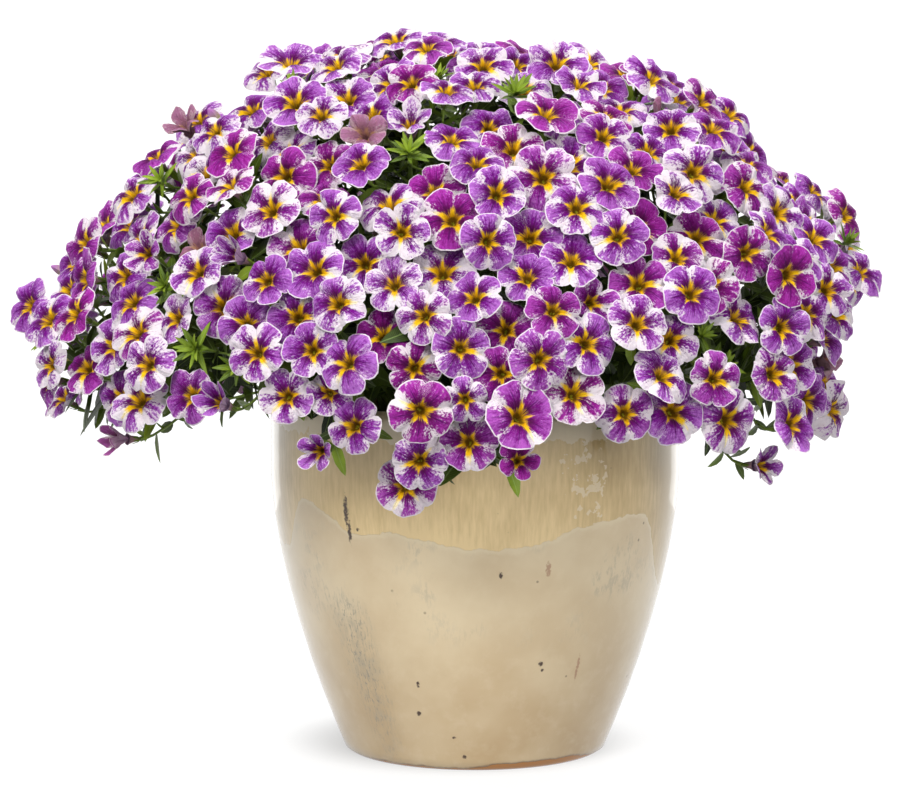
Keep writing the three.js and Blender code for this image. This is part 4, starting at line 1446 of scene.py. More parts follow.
@dataclass(frozen=True)
class Fleck:
    """A mark in the glaze, by degrees right of the front, and otherwise in millimetres."""

    compass: float
    height: float
    half_width: float
    half_height: float


@dataclass(frozen=True)
class GlazeFinish:
    """Stoneware glazed twice: pale all over, an olive-tan dip above, and bare clay at the foot."""

    pale: Colour = srgb(220, 201, 166)
    pale_low: Colour = srgb(188, 160, 119)
    tan: Colour = srgb(232, 205, 152)
    olive: Colour = srgb(172, 144, 90)
    # The lip colour also paints the highlight round the lip and the reflection patches below it.
    lip: Colour = srgb(226, 210, 178)
    stain: Colour = srgb(136, 132, 120)
    iron: Colour = srgb(56, 32, 20)
    rust: Colour = srgb(150, 92, 66)
    clay: Colour = srgb(176, 116, 50)
    clay_edge: Colour = srgb(92, 58, 26)
    brushed_scale: float = 520.0
    cloud_scale: float = 26.0
    edge_scale: float = 130.0
    grain_scale: float = 700.0
    relief: float = 0.3 * MM
    lip_line: float = 175.5 * MM
    lip_ragged: float = 16 * MM
    lip_blur: float = 0.6 * MM
    olive_height: float = 135 * MM
    dip_ragged: Pair = (7 * MM, 6 * MM)
    dip_blur: float = 0.4 * MM
    glow_from: float = 3.5 * MM
    glow_to: float = 0.2 * MM
    bare_foot: float = 1.1 * MM
    bare_right: float = 2.6 * MM
    clay_ragged: float = 3 * MM
    clay_blur: Pair = (0.3 * MM, -0.1 * MM)
    brink_blur: Pair = (1.4 * MM, 0.2 * MM)
    dip_low: float = 80 * MM
    dip_range: float = 80 * MM
    dip_line: tuple[Pair, ...] = (
        (-180, 128), (-120, 122), (-84, 118), (-67, 114),
        (-58, 138), (-48, 137), (-38, 127), (-20, 128),
        (0, 121), (17, 123), (28, 130), (55, 132),
        (64, 108), (77, 92), (100, 118), (180, 128),
    )
    flecks: tuple[Fleck, ...] = (
        Fleck(-37.6, 138, 1.5, 8),
        Fleck(-36.8, 127, 1.3, 6),
        Fleck(-34.0, 129, 0.9, 1.0),
        Fleck(7.3, 107.5, 1.0, 1.9),
        Fleck(-19.5, 47.8, 1.2, 1.6),
        Fleck(-20.7, 31.4, 1.7, 1.3),
        Fleck(21.8, 59.0, 1.7, 1.3),
        Fleck(22.6, 55.4, 1.0, 0.8),
        Fleck(-8.1, 18.8, 1.5, 0.7),
        Fleck(-4.1, 8.0, 1.7, 1.1),
        Fleck(140.0, 92.0, 1.4, 3.0),
        Fleck(-150.0, 60.0, 1.2, 1.2),
    )
    rusty: tuple[Fleck, ...] = (
        Fleck(21.0, 110.0, 1.6, 4.0),
        Fleck(36.0, 55.0, 1.0, 7.0),
        Fleck(-172.0, 100.0, 1.8, 5.0),
    )
    painted_reflection_compass: float = 31.0
    painted_reflection_height: float = 154 * MM
    painted_reflection_half_width: float = 17 * MM
    painted_reflection_half_height: float = 26 * MM
    stain_compass: float = -42.0
    stain_half_width: float = 14 * MM
    stain_bend: float = 90 * MM
    stain_drift: float = 0.12
    stain_top: Pair = (100 * MM, 80 * MM)
    stain_foot: Pair = (-20 * MM, 50 * MM)
    haze_top: Pair = (135 * MM, 118 * MM)
    haze_foot: Pair = (60 * MM, 95 * MM)
    belly: float = 108.5 * MM

    def material(self) -> Material:
        """Builds the material from the turn round the pot, 0 at the front, and the height.

        Returns:
            The material.
        """
        g = Graph(
            "glaze", Specular_IOR_Level=0.15, Coat_Weight=1.0, Coat_Roughness=0.07, Coat_IOR=1.45
        )
        wall = g.position()
        x, y, z = g.parts(wall)
        turn = g.math("ARCTAN2", x, y * -1.0)
        round_pot = turn * self.belly
        brushed = g.noise(g.vector(round_pot, z * 0.12, 0.0), self.brushed_scale, 3.0, 0.6)
        cloud = g.noise(wall, self.cloud_scale, 3.0, 0.55)
        edge = g.noise(wall, self.edge_scale, 4.0, 0.6)
        grain = g.noise(wall, self.grain_scale, 2.0, 0.6)
        ragged = edge - 0.5

        # The pale glaze darkens in random clouds and, as painted shade, towards the foot.
        low = cloud.rise(0.3, 0.7) * 0.4 + z.rise(0.1, 0.0) * 0.6
        lower = g.mix(low, self.pale, self.pale_low)
        lower = g.mix(ragged.larger(0.0) * 0.8, lower, self.lip)
        lower = self._add_stain(g, lower, round_pot, z, (brushed, edge, grain))
        # Painted shade: the dip is coloured darker to the right and from the sides round to the back;
        # it also darkens at random and towards the top.
        painted_side_shade = turn.rise(0.25, 0.8) * 0.4 + abs(turn).rise(0.95, 1.25) * 0.5
        dark = (brushed - 0.4) * 0.9 + (cloud - 0.45) + (z - self.olive_height) * 7.0 + painted_side_shade
        upper = g.mix(dark.larger(0.0).smaller(0.85), self.tan, self.olive)
        by_edge, by_cloud = self.dip_ragged
        line = self._dip_height(g, turn) + ragged * by_edge + (cloud - 0.5) * by_cloud
        dipped = z.rise(line - self.dip_blur, line + self.dip_blur)
        glow = z.rise(line - self.glow_from, line - self.glow_to) * (1.0 - dipped)
        lower = g.mix(glow * 0.6, lower, self.lip)
        colour = g.mix(dipped, lower, upper)
        # Painted reflection: pale patches on the dip below the lip.
        colour = g.mix(self._painted_reflection_patches(g, round_pot, z, wall) * 0.7, colour, self.lip)
        # Painted highlight: a pale band round the lip stands for the sky's reflection on its rounded
        # edge.
        lip_line = self.lip_line + ragged * self.lip_ragged
        lip = z.rise(lip_line - self.lip_blur, lip_line + self.lip_blur)
        colour = g.mix(lip * 0.8, colour, self.lip)
        colour = self._add_flecks(g, colour, round_pot, z, grain, wall)
        to_right = (turn - 0.5).rise(0.6, 0.3) * (turn + 0.1).rise(0.0, 0.35)
        clay_line = to_right * self.bare_right + self.bare_foot + ragged * self.clay_ragged
        clay = z.rise(*(clay_line + blur for blur in self.clay_blur))
        brink = z.rise(*(clay_line + blur for blur in self.brink_blur)) * 0.55
        colour = g.mix(brink, colour, self.clay_edge)
        colour = g.mix(clay, colour, self.clay)
        roughness = 0.34 + clay * 0.4 + grain * 0.08
        relief = dipped * 0.6 + edge * 0.3 + grain * 0.12 - clay * 0.8
        return g.finish(colour, roughness, relief, self.relief)

    def _dip_height(self, g: Graph, turn: Value) -> Value:
        """Reads the lower edge of the olive dip off its line round the pot.

        Args:
            g: The graph.
            turn: The turn round the pot, 0 at the front.

        Returns:
            The edge's height.
        """
        stops = []
        for compass, height in self.dip_line:
            level = (height * MM - self.dip_low) / self.dip_range
            stops.append(((compass + 180) / 360, (level, level, level, 1.0)))
        place = turn / (2 * math.pi) + 0.5
        return g.ramp(place, stops, "CARDINAL") * self.dip_range + self.dip_low

    def _painted_reflection_patches(self, g: Graph, round_pot: Value, z: Value, wall: Value) -> Value:
        """Marks the pale patches below the lip, a painted reflection on the dip.

        Args:
            g: The graph.
            round_pot: The way round the pot.
            z: The height.
            wall: The place on the wall.

        Returns:
            1 in a patch and 0 outside.
        """
        across = (round_pot - math.radians(self.painted_reflection_compass) * self.belly) / self.painted_reflection_half_width
        up = (z - self.painted_reflection_height) / self.painted_reflection_half_height
        near = (across * across + up * up).rise(1.2, 0.1)
        patchy = g.noise(wall, 190.0, 4.0, 0.55)
        return (patchy + near * 0.12).rise(0.655, 0.675) * near.rise(0.0, 0.15)

    def _add_stain(
        self, g: Graph, base: Value, round_pot: Value, z: Value, noises: tuple[Value, Value, Value]
    ) -> Value:
        """Adds the blue-grey stain that runs down the lower left in broken vertical streaks.

        Args:
            g: The graph.
            base: The colour so far.
            round_pot: The way round the pot.
            z: The height.
            noises: Brushed, coarse and fine noise.

        Returns:
            The stained colour.
        """
        brushed, edge, grain = noises
        drift = (self.stain_bend - z).larger(0.0) * self.stain_drift
        middle = math.radians(self.stain_compass) * self.belly + drift
        across = abs(round_pot - middle) / self.stain_half_width
        near = across.rise(1.5, 0.0) * z.rise(*self.stain_top) * z.rise(*self.stain_foot)
        dashes = g.noise(g.vector(round_pot, z * 0.28, 0.0), 620.0, 3.0, 0.7)
        veil = near * (brushed * 0.5 + edge * 0.7).rise(0.45, 0.8)
        base = g.mix(veil * 0.5, base, self.stain)
        spots = near * (dashes * 0.75 + grain * 0.25).rise(0.52, 0.6)
        base = g.mix(spots * 0.75, base, self.stain)
        band = z.rise(*self.haze_foot) * z.rise(*self.haze_top)
        patches = g.noise(g.vector(round_pot, z, 3.0), 24.0, 2.0).rise(0.5, 0.62)
        haze = band * patches * (dashes * 0.5 + edge * 0.5).rise(0.48, 0.6)
        return g.mix(haze * 0.3, base, self.stain)

    def _add_flecks(
        self,
        g: Graph,
        base: Value,
        round_pot: Value,
        z: Value,
        grain: Value,
        wall: Value,
    ) -> Value:
        """Adds the named iron marks and a scatter of pinholes.

        Args:
            g: The graph.
            base: The colour so far.
            round_pot: The way round the pot.
            z: The height.
            grain: Fine noise, which frays the marks.
            wall: The place on the wall.

        Returns:
            The colour with its marks.
        """
        kinds = (self.rusty, self.rust, 0.6), (self.flecks, self.iron, 0.97)
        for flecks, colour, strength in kinds:
            marks = None
            for fleck in flecks:
                right = math.radians(fleck.compass) * self.belly
                across = (round_pot - right) / (fleck.half_width * MM)
                up = (z - fleck.height * MM) / (fleck.half_height * MM)
                inside = (across * across + up * up + (grain - 0.5) * 3.6).rise(1.4, 0.2)
                marks = inside if marks is None else marks.larger(inside)
            base = g.mix(marks * strength, base, colour)
        cells = g.node("ShaderNodeTexVoronoi", {}, {"Vector": wall, "Scale": 75.0})
        chosen = g.noise(wall, 44.0, 1.0).rise(0.56, 0.62)
        pinholes = cells.rise(0.075, 0.04) * chosen
        return g.mix(pinholes * 0.55, base, self.iron)


@dataclass(frozen=True)
class SoilFinish:
    """Damp potting soil: dark crumbs with a few paler fibres."""

    dark: Colour = srgb(26, 18, 12)
    brown: Colour = srgb(70, 48, 32)
    crumb_scale: float = 380.0
    relief: float = 1.5 * MM

    def material(self) -> Material:
        """Builds the material from coarse and fine noise.

        Returns:
            The material.
        """
        g = Graph("potting_soil", Roughness=0.95)
        crumbs = g.noise(g.position(), self.crumb_scale, 4.0, 0.7)
        colour = g.mix(crumbs.rise(0.35, 0.7), self.dark, self.brown)
        return g.finish(colour, None, crumbs, self.relief)


@dataclass(frozen=True)
class FloorFinish:
    """The pale studio floor, which glows so that shadows on it stay faint, and glows less round the
    object's foot as a painted contact shadow.
    """

    colour: Colour = (0.16, 0.16, 0.16, 1.0)
    light: Colour = (1.0, 1.0, 1.0, 1.0)
    painted_shadow: Colour = (0.6, 0.6, 0.6, 1.0)
    glow: float = 0.88
    painted_shadow_middle: Pair = (-8 * MM, 14 * MM)
    painted_shadow_reach: Pair = (56 * MM, 104 * MM)

    def material(self) -> Material:
        """Builds the material, which glows less in a soft round patch under the object: a painted
        contact shadow.

        Returns:
            The material.
        """
        g = Graph(
            "floor",
            Base_Color=self.colour,
            Roughness=0.9,
            Specular_IOR_Level=0.1,
            Emission_Strength=self.glow,
        )
        x, y, _ = g.parts(g.position())
        across, back = x - self.painted_shadow_middle[0], y - self.painted_shadow_middle[1]
        away = (across * across + back * back) ** 0.5
        # Painted shadow: the floor's glow dims in a soft round patch by the object's foot.
        light = g.mix(away.rise(*self.painted_shadow_reach), self.painted_shadow, self.light)
        g.link(light, "Emission Color")
        return g.material


# ---------------------------------------------------------------- the plant
@dataclass
class Spray:
    """One flowering branch: its stem, stalks, leaves, shoots, buds and blooms.

    A share is a leaf's half width as a share of its length, a lean how far it points along what
    it grows from, and a droop how far its tip hangs. Shoots' pairs run from their lowest leaf to
    their highest.
    """

    name: str
    form: GrownBody
    seed: int
    bloom_lean: float = 0.11
    bloom_crease: float = 50.0
    foliage_crease: float = 70.0
    stem_radii: Pair = (2.0 * MM, 1.1 * MM)
    stem_steps: int = 4
    stem_sides: int = 8
    stalk_radii: Pair = (0.85 * MM, 0.62 * MM)
    stalk_steps: int = 7
    stalk_sides: int = 6
    stalk_bend: float = 0.3
    most_bend: float = 12 * MM
    calyx_radius: float = 1.4 * MM
    leaf_share: float = 0.19
    leaf_droop: float = 0.12
    most_youth: float = 0.75
    inner_start: float = 45 * MM
    inner_step: float = 3.5 * MM
    inner_length: Pair = (18 * MM, 30 * MM)
    inner_share: float = 0.2
    inner_lean: Pair = (0.2, 0.9)
    inner_droop: float = 0.15
    most_shaded_inner_youth: float = 0.25
    lowest_inner_leaf: float = 172 * MM
    small_start: Pair = (4 * MM, 9 * MM)
    small_step: float = 5.0 * MM
    small_length: Pair = (10 * MM, 18 * MM)
    small_share: Pair = (0.16, 0.24)
    small_lean: Pair = (0.35, 0.95)
    small_droop: float = 0.18
    most_small_leaves: int = 11
    bare_root: float = 5 * MM
    young_reach: float = 14 * MM
    young_by_bloom: float = 0.7
    own_youth: Pair = (-0.1, 0.35)
    sepal_start: float = 0.9 * MM
    sepal_length: float = 7 * MM
    sepal_growth: Pair = (0.8, 1.2)
    sepal_share: float = 0.13
    sepal_flare: Pair = (0.25, 0.6)
    sepal_droop: float = -0.1
    shoot_leaves: int = 18
    shoot_size: float = 0.82
    shoot_share: float = 0.12
    shoot_levels: Pair = (-5 * MM, -2 * MM)
    shoot_lean: Pair = (0.25, 1.85)
    shoot_taper: Pair = (1.05, 0.65)
    shoot_growth: Pair = (0.75, 1.15)
    shoot_youth: Pair = (0.45, 0.85)
    shoot_lean_spread: float = 0.25
    shoot_way_spread: float = 0.12
    shoot_youth_spread: float = 0.15
    corolla: Corolla = field(default_factory=Corolla)
    bud: ClosedBud = field(default_factory=ClosedBud)
    green: Skins = field(default_factory=Skins)

    def __post_init__(self) -> None:
        """Starts the spray's own random draws, leans its blooms and draws its stalks."""
        self.rng = np.random.default_rng(self.seed)
        blooming = HeadKind.OPEN, HeadKind.HALF_OPEN
        heads = self.form.heads
        leans = self.rng.normal(0, self.bloom_lean, (len(heads), 3))
        leant = (leaning(head, lean) for head, lean in zip(heads, leans))
        self.form.heads = [new if old.kind in blooming else old for old, new in zip(heads, leant)]
        self.lines = self._stalk_lines()

    def of_kind(self, *kinds: HeadKind) -> list[Head]:
        """Returns the heads of some kinds."""
        return [h for h in self.form.heads if h.kind in kinds]

    def _stalk_lines(self) -> Array:
        """Draws each stalk as a cubic from its root to the neck, which it meets head on.

        Returns:
            Their points, (stalk, point, 3).
        """
        roots, necks = (column(self.form.heads, end) for end in ("root", "neck"))
        axes = column(self.form.heads, "frame")[:, 2]
        length = np.linalg.norm(necks - roots, axis=1, keepdims=True)
        ahead = (necks - roots) / length
        reach = np.minimum(self.stalk_bend * length, self.most_bend)
        corners = np.stack([roots, roots + reach * ahead, necks - reach * axes, necks], axis=1)
        return bezier(corners, self.stalk_steps)

    def grow_blooms(self, material: Material) -> None:
        """Makes the piece with the spray's open and half-open blooms.

        Args:
            material: The petals' material.
        """
        skins = Skins()
        self.corolla.grow(skins, self.of_kind(HeadKind.OPEN, HeadKind.HALF_OPEN), self.rng)
        piece = skins.piece(self.name.replace("spray", "blooms"), material, self.bloom_crease)
        hand_over(piece, self.name)

    def grow_foliage(self, material: Material, faces: BloomFaces) -> None:
        """Makes the piece with everything green.

        Args:
            material: The foliage's material.
            faces: All the plant's blooms, which small leaves keep out of.
        """
        self._grow_stem()
        self._grow_stalks()
        self._grow_leaves()
        self._grow_inner_leaves(faces)
        self._grow_small_leaves(faces)
        self._grow_sepals()
        self._grow_shoots()
        if buds := self.of_kind(HeadKind.BUD):
            self.bud.grow(self.green, buds, self.rng)
        piece = self.green.piece(self.name.replace("spray", "foliage"), material, self.foliage_crease)
        hand_over(piece, self.name)

    def _grow_stem(self) -> None:
        """Adds the stem: a round tube on a smooth line through its nodes."""
        line = smooth_line(self.form.line, self.stem_steps)[None]
        radii = np.linspace(*self.stem_radii, line.shape[1])
        self._add_tubes(line, radii, self.stem_sides)

    def _grow_stalks(self) -> None:
        """Adds the stalks, which thicken into the calyx at their last step."""
        radii = np.linspace(*self.stalk_radii, self.stalk_steps)
        radii[-1] = self.calyx_radius
        self._add_tubes(self.lines, radii, self.stalk_sides)

    def _add_tubes(self, lines: Array, radii: Array, sides: int) -> None:
        """Adds round tubes and marks them as stalks.

        Args:
            lines: Their middle lines, (tube, point, 3).
            radii: Their radius at each point.
            sides: Corners of the section.
        """
        along = np.linspace(0, 1, lines.shape[1])[:, None]
        growth = np.array([0.5, self.rng.random(), 0.0])
        rings = tubes(lines, radii, sides)
        blade = vectors(1.0, along, 0.0)
        self.green.add(rings, lines[:, 0], lines[:, -1], blade=blade, growth=growth)

    def _grow_leaves(self) -> None:
        """Adds the leaves that grow from the stem."""
        blades = self.form.blades
        if not blades:
            return
        roots, ways, tops, lengths = (column(blades, part) for part in ("root", "way", "top", "length"))
        youth = self.rng.uniform(0.0, self.most_youth, len(blades))
        batch = LeafBatch(roots, ways, tops, lengths, lengths * self.leaf_share, youth)
        batch.grow(self.green, FINE_LEAF, self.leaf_droop, self.rng)

    def _stand_round(self, tangent: Array, reference: Vector3, lean: Pair) -> Array:
        """Draws ways out from a line, in golden-angle steps round it.

        Args:
            tangent: The line's way where each leaf stands.
            reference: The direction that the turn round the line is measured from.
            lean: The least and most that a leaf leans along the line.

        Returns:
            The leaves' ways.
        """
        many = len(tangent)
        turn = self.rng.uniform(0, 2 * np.pi) + GOLDEN_ANGLE * np.arange(many)
        across = unit(np.cross(tangent, reference))
        radial = spokes(turn, across, np.cross(tangent, across))
        return unit(radial + self.rng.uniform(*lean, (many, 1)) * tangent)

    def _grow_inner_leaves(self, faces: BloomFaces) -> None:
        """Adds old leaves along the stem, above the rim and outside the blooms. They take the dark
        green of old leaves, which also paints the shade inside the mound.

        Args:
            faces: All the plant's blooms.
        """
        line = smooth_line(self.form.line, 3 * self.stem_steps)
        places = np.arange(self.inner_start, travelled(line)[-1], self.inner_step)
        roots, tangent = along_line(line, places)
        ways = self._stand_round(tangent, (0.31, 0.93, 0.2), self.inner_lean)
        lengths = self.rng.uniform(*self.inner_length, len(roots))
        tips = roots + lengths[:, None] * ways
        keep = ~faces.crossed(roots, tips) & (tips[:, 2] > self.lowest_inner_leaf)
        # Painted shade: inner leaves get little youth, so they take the dark old green.
        youth = self.rng.uniform(0.0, self.most_shaded_inner_youth, keep.sum())
        kept = (part[keep] for part in (roots, ways, tangent, lengths, self.inner_share * lengths))
        LeafBatch(*kept, youth).grow(self.green, SMALL_LEAF, self.inner_droop, self.rng)

    def _grow_small_leaves(self, faces: BloomFaces) -> None:
        """Adds small leaves along every stalk, younger near the neck.

        A leaf that would pass through a bloom is left out.

        Args:
            faces: All the plant's blooms.
        """
        stations = np.linspace(0, 1, 4 * self.stalk_steps - 3)
        ends = np.linspace(0, 1, self.stalk_steps)
        grown = []
        for line in self.lines:
            dense = np.stack([np.interp(stations, ends, line[:, k]) for k in range(3)], axis=1)
            length = travelled(dense)[-1]
            steps = self.small_step * np.arange(self.most_small_leaves)
            back = self.rng.uniform(*self.small_start) + steps
            back = back[back < length - self.bare_root]
            roots, tangent = along_line(dense, length - back)
            ways = self._stand_round(tangent, (0.31, 0.2, 0.93), self.small_lean)
            grown.append((roots, ways, tangent, np.exp(-back / self.young_reach)))
        roots, ways, tops, nearness = (np.concatenate(part) for part in zip(*grown))
        many = len(roots)
        lengths = self.rng.uniform(*self.small_length, many)
        keep = ~faces.crossed(roots, roots + lengths[:, None] * ways)
        own = self.rng.uniform(*self.own_youth, many)
        youth = np.clip(nearness * self.young_by_bloom + own, 0, 1)
        half_widths = lengths * self.rng.uniform(*self.small_share, many)
        kept = (part[keep] for part in (roots, ways, tops, lengths, half_widths, youth))
        LeafBatch(*kept).grow(self.green, SMALL_LEAF, self.small_droop, self.rng)

    def _grow_sepals(self) -> None:
        """Adds the five narrow sepals that hold each tube."""
        heads = self.of_kind(HeadKind.OPEN, HeadKind.HALF_OPEN, HeadKind.BUD)
        u, v, axes = (column(heads, "frame")[:, None, k] for k in range(3))
        turn = turns_round(LOBES) + self.rng.uniform(0, 1, (len(heads), 1))
        radial = spokes(turn, u, v)
        roots = column(heads, "neck")[:, None] + self.sepal_start * radial
        flare = self.rng.uniform(*self.sepal_flare, (*turn.shape, 1))
        ways = unit(axes + flare * radial)
        scale = np.repeat(column(heads, "scale"), LOBES)
        lengths = self.sepal_length * scale * self.rng.uniform(*self.sepal_growth, len(scale))
        rows = (part.reshape(-1, 3) for part in (roots, ways, -radial))
        batch = LeafBatch(*rows, lengths, self.sepal_share * lengths, np.full(len(scale), 0.5))
        batch.grow(self.green, SEPAL, self.sepal_droop, self.rng)

    def _grow_shoots(self) -> None:
        """Adds leafy shoots: leaves in golden-angle steps, each shorter and more upright."""
        many, rng = self.shoot_leaves, self.rng
        for head in self.of_kind(HeadKind.SHOOT):
            u, v, axis = head.frame
            turn = GOLDEN_ANGLE * np.arange(many) + rng.uniform(0, 2 * np.pi)
            lean = np.linspace(*self.shoot_lean, many) + rng.normal(0, self.shoot_lean_spread, many)
            ways = spokes(turn, u, v) + lean[:, None] * axis
            ways = unit(ways + rng.normal(0, self.shoot_way_spread, (many, 3)))
            growth = np.linspace(*self.shoot_taper, many) * rng.uniform(*self.shoot_growth, many)
            lengths = self.shoot_size * head.tips.mean() * growth
            roots = head.centre + np.linspace(*self.shoot_levels, many)[:, None] * axis
            youth = np.linspace(*self.shoot_youth, many) + rng.normal(0, self.shoot_youth_spread, many)
            tops, half_widths = np.tile(axis, (many, 1)), lengths * self.shoot_share
            batch = LeafBatch(roots, ways, tops, lengths, half_widths, np.clip(youth, 0, 1))
            batch.grow(self.green, FINE_LEAF, self.leaf_droop, rng)


@dataclass
class BloomFaces:
    """The faces of all blooms as flat discs, for keeping leaves out of them."""

    centres: Array
    axes: Array
    radii: Array

    @classmethod
    def of(cls, sprays: list[Spray], set_back: float = 1.0 * MM) -> BloomFaces:
        """Collects the discs of all sprays' blooms and shoots.

        Args:
            sprays: The sprays.
            set_back: How far a disc lies behind its bloom's centre.

        Returns:
            The discs.
        """
        kinds = HeadKind.OPEN, HeadKind.HALF_OPEN, HeadKind.SHOOT
        heads = [head for spray in sprays for head in spray.of_kind(*kinds)]
        axes = column(heads, "frame")[:, 2]
        radii = column(heads, "tips").mean(axis=1)
        return cls(column(heads, "centre") - set_back * axes, axes, radii)

    def crossed(self, starts: Array, ends: Array) -> Array:
        """Tells which straight stretches pass through a disc.

        A stretch from p to q crosses a plane at share s = (c - p).n / (q - p).n of its length.

        Args:
            starts: Where the stretches start.
            ends: Where they end.

        Returns:
            True for each stretch that meets a disc.
        """
        below = np.einsum("pdx,dx->pd", starts[:, None] - self.centres, self.axes)
        above = np.einsum("pdx,dx->pd", ends[:, None] - self.centres, self.axes)
        share = below / np.where(np.abs(below - above) < 1e-9, 1e-9, below - above)
        hits = starts[:, None] + share[..., None] * (ends - starts)[:, None]
        near = np.linalg.norm(hits - self.centres, axis=-1) < self.radii
        return (near & (share > 0) & (share < 1)).any(axis=1)


@dataclass
class Plant:
    """All sprays of the plant, with the finishes they share."""

    nodes: dict[str, Piece]
    petals: PetalFinish = field(default_factory=PetalFinish)
    foliage: FoliageFinish = field(default_factory=FoliageFinish)
    rules: BodyRules = field(default_factory=BodyRules)

    def build(self) -> None:
        """Reads every spray, then dresses each in turn."""
        names = sorted(name for name in self.nodes if name.startswith("spray_"))
        bodies = (GrownBody(self.nodes[name], self.rules) for name in names)
        sprays = [Spray(name, body, SEED + i) for i, (name, body) in enumerate(zip(names, bodies))]
        petal, green = self.petals.material(), self.foliage.material()
        faces = BloomFaces.of(sprays)
        for spray in sprays:
            spray.grow_blooms(petal)
            spray.grow_foliage(green, faces)
        LOG.info("%d sprays with %d heads", len(sprays), sum(len(s.form.heads) for s in sprays))


# ---------------------------------------------------------------- the pot and its soil
@dataclass(frozen=True)
class Pot:
    """The thrown stoneware pot, turned about the vertical axis."""

    height: float = 190 * MM
    foot_radius: float = 69 * MM
    foot_bevel: float = 1.5 * MM
    belly_radius: float = 108.5 * MM
    belly_height: float = 150 * MM
    swell_power: float = 1.62
    wall: float = 9 * MM
    floor: float = 12 * MM
    lip_radius: float = 4.5 * MM
    sides: int = 160
    levels: int = 44
    lip_steps: int = 15
    inner_share: float = 0.5
    crease: float = 40.0
    lowest_ring: float = 4 * MM
    throwing_depth: float = 0.12 * MM
    throwing_pitch: float = 7 * MM
    finish: GlazeFinish = field(default_factory=GlazeFinish)

    def outer_radius(self, z: Array) -> Array:
        """Returns the outer radius: belly - (belly - foot) (1 - z / belly height)^power."""
        below = np.maximum(0, 1 - z / self.belly_height) ** self.swell_power
        return self.belly_radius - (self.belly_radius - self.foot_radius) * below

    def profile(self) -> Array:
        """Works out the section from the foot up the wall, over the lip and down inside.

        The lip is an arc, and the inside follows the outside at the wall's thickness.

        Returns:
            Points as (radius, height).
        """
        lip_level = self.height - self.lip_radius
        rise = np.linspace(self.foot_bevel, lip_level, self.levels)
        outside = np.stack([self.outer_radius(rise), rise], axis=1)
        arc = np.linspace(0, np.pi, self.lip_steps)[1:-1]
        middle = np.array([self.belly_radius - self.lip_radius, lip_level])
        lip = middle + self.lip_radius * np.stack([np.cos(arc), np.sin(arc)], axis=1)
        fall = np.linspace(lip_level, self.floor, self.levels // 2)
        inside = np.stack([self.outer_radius(fall) - self.wall, fall], axis=1)
        foot = np.array([[self.foot_radius - self.foot_bevel, 0.0]])
        inner_foot = np.array([[self.inner_share * self.foot_radius, 0.0]])
        inner_floor = inner_foot + [0.0, self.floor]
        return np.concatenate([inner_foot, foot, outside, lip, inside, inner_floor])

    def build(self) -> None:
        """Turns the section round, with the faint rings that throwing leaves in the wall."""
        section = self.profile()
        turn = turns_round(self.sides)
        radius, level = section[:, :1], section[:, 1:]
        rings = self.throwing_depth * np.sin(2 * np.pi * level / self.throwing_pitch + turn)
        upright = (level > self.lowest_ring) & (level < self.height - 2 * self.lip_radius)
        radius = radius - np.where(upright, np.abs(rings), 0)
        points = turned(radius, turn, level)
        skins = Skins()
        skins.add(points[None], np.zeros((1, 3)), np.array([[0, 0, self.floor]]))
        piece = skins.piece("glazed_pot", self.finish.material(), self.crease)
        hand_over(piece, "pot")


@dataclass(frozen=True)
class Soil:
    """The potting soil, heaped a little in the middle."""

    pot: Pot
    edge_height: float = 170 * MM
    crown: float = 4 * MM
    clearance: float = 0.4 * MM
    sides: int = 96
    side_rings: int = 12
    top_rings: int = 22
    lump: float = 1.6 * MM
    lump_waves: int = 9
    wave_number: float = 420.0
    crease: float = 60.0
    finish: SoilFinish = field(default_factory=SoilFinish)

    def build(self) -> None:
        """Makes the filling: its side follows the pot's inside, its top is lumpy.

        A lump's height is the mean of a few waves in random directions across the soil.
        """
        rng = np.random.default_rng(SEED)
        pot = self.pot
        rise = np.linspace(pot.floor + self.clearance, self.edge_height, self.side_rings)
        side = np.stack([pot.outer_radius(rise) - pot.wall - self.clearance, rise], axis=1)
        share = np.linspace(1, 0, self.top_rings + 1)[1:-1]
        top = np.stack([side[-1, 0] * share, self.edge_height + self.crown * (1 - share)], axis=1)
        section = np.concatenate([side, top])
        turn = turns_round(self.sides)
        across = section[:, :1, None] * np.stack([np.cos(turn), np.sin(turn)], axis=-1)
        waves = rng.normal(0, self.wave_number, (self.lump_waves, 2))
        starts = rng.uniform(0, 2 * np.pi, self.lump_waves)
        lumps = np.sin(across @ waves.T + starts).mean(axis=-1)
        on_top = (np.arange(len(section)) >= len(side))[:, None]
        level = section[:, 1:] + np.where(on_top, self.lump * lumps, 0)
        points = np.concatenate([across, level[..., None]], axis=-1)
        low, high = section[0, 1], self.edge_height + self.crown
        skins = Skins()
        skins.add(points[None], np.array([[0, 0, low]]), np.array([[0, 0, high]]))
        piece = skins.piece("soil_filling", self.finish.material(), self.crease)
        hand_over(piece, "soil")


# ---------------------------------------------------------------- the studio
@dataclass(frozen=True)
class Sun:
    """A broad soft light: the way it comes from, its strength and how wide it looks."""

    name: str
    compass: float
    elevation: float
    strength: float
    width: float
    colour: Vector3 = (1.0, 1.0, 1.0)


@dataclass(frozen=True)
class Panel:
    """An upright white light panel behind the object, which edges its glaze with white."""

    name: str
    compass: float
    distance: float = 0.75
    width: float = 0.26
    height: float = 1.0
    strength: float = 0.7


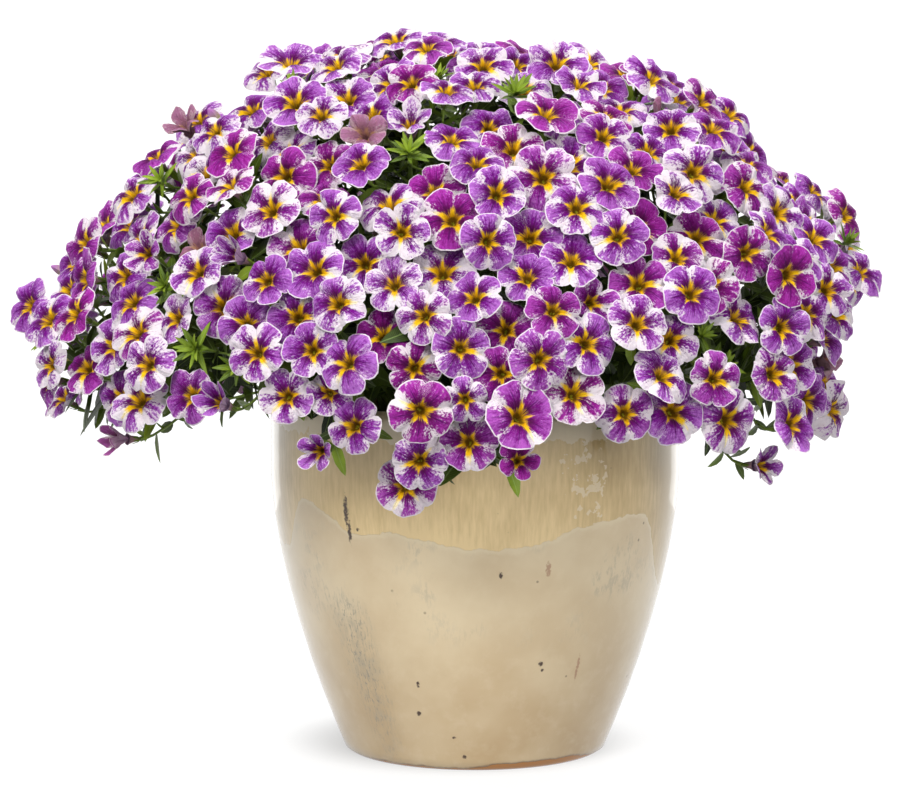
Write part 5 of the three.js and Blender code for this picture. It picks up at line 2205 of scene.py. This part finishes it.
@dataclass(frozen=True)
class Studio:
    """The pale floor, the soft light and the camera."""

    floor_half: float = 900.0
    camera_place: Vector3 = (0.0, -2.0, 0.414)
    camera_aim: Vector3 = (-0.0133, 0.0, 0.183)
    focal_length: float = 152.0
    world: Vector3 = (0.95, 0.975, 1.0)
    world_strength: float = 0.34
    suns: tuple[Sun, ...] = (
        Sun("key_light", -28.0, 36.0, 1.68, 20.0, (1.0, 0.985, 0.955)),
        Sun("top_light", -10.0, 74.0, 2.15, 26.0),
        Sun("fill_light", 34.0, 9.0, 1.55, 30.0, (1.0, 0.985, 0.95)),
        Sun("left_light", -52.0, 12.0, 0.55, 30.0, (1.0, 0.985, 0.95)),
        Sun("rear_light", 168.0, 42.0, 1.5, 45.0),
    )
    panels: tuple[Panel, ...] = (Panel("left_panel", -146.0), Panel("right_panel", 146.0))
    finish: FloorFinish = field(default_factory=FloorFinish)

    def build(self) -> None:
        """Makes the floor, the lights, the world and the camera."""
        self._add_floor()
        self._add_world()
        for sun in self.suns:
            self._add_sun(sun)
        for panel in self.panels:
            self._add_panel(panel)
        self._add_camera()
        bpy.context.scene.view_settings.view_transform = "Standard"

    def _add_floor(self) -> None:
        """Adds the floor, a flat square at height 0."""
        mesh = bpy.data.meshes.new("floor")
        half = self.floor_half
        corners = [(-half, -half, 0), (half, -half, 0), (half, half, 0), (-half, half, 0)]
        mesh.from_pydata(corners, [], [(0, 1, 2, 3)])
        mesh.materials.append(self.finish.material())
        floor = put("floor", mesh)
        floor.visible_diffuse = False

    def _add_world(self) -> None:
        """Lights everything evenly from a white room."""
        world = bpy.data.worlds.new("room")
        world.use_nodes = True
        background = next(n for n in world.node_tree.nodes if n.type == "BACKGROUND")
        background.inputs["Color"].default_value = (*self.world, 1.0)
        background.inputs["Strength"].default_value = self.world_strength
        bpy.context.scene.world = world

    @staticmethod
    def _add_sun(sun: Sun) -> None:
        """Adds a light that shines from a compass bearing, 0 at the front, and an elevation.

        Args:
            sun: The light.
        """
        light = bpy.data.lights.new(sun.name, "SUN")
        light.energy = sun.strength
        light.angle = math.radians(sun.width)
        light.color = sun.colour
        tilt = math.radians(90 - sun.elevation)
        put(sun.name, light).rotation_euler = (tilt, 0, math.radians(sun.compass))

    @staticmethod
    def _add_panel(panel: Panel) -> None:
        """Adds an area light on its edge on the floor, facing the axis, unseen by the camera.

        Args:
            panel: The light.
        """
        light = bpy.data.lights.new(panel.name, "AREA")
        light.shape = "RECTANGLE"
        light.size = panel.width
        light.size_y = panel.height
        light.energy = panel.strength
        made = put(panel.name, light)
        bearing = math.radians(panel.compass)
        x, y = panel.distance * math.sin(bearing), -panel.distance * math.cos(bearing)
        made.location = (x, y, panel.height / 2)
        made.rotation_euler = (math.pi / 2, 0, bearing)
        made.visible_camera = False

    def _add_camera(self) -> None:
        """Adds the camera, which looks at its aim from its place."""
        data = bpy.data.cameras.new("camera")
        data.lens = self.focal_length
        data.clip_end = 3 * self.floor_half
        camera = put("camera", data)
        camera.location = self.camera_place
        x, y, z = np.subtract(self.camera_aim, self.camera_place)
        pitch = math.atan2(math.hypot(x, y), -z)
        camera.rotation_euler = (pitch, 0, math.atan2(-x, y))
        bpy.context.scene.camera = camera


def main() -> None:
    """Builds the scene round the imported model."""
    logging.basicConfig(level=logging.INFO, format="%(name)s: %(message)s")
    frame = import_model()
    Studio().build()
    pot = Pot()
    pot.build()
    Soil(pot).build()
    Plant(frame["nodes"]).build()


if __name__ == "__main__":
    main()
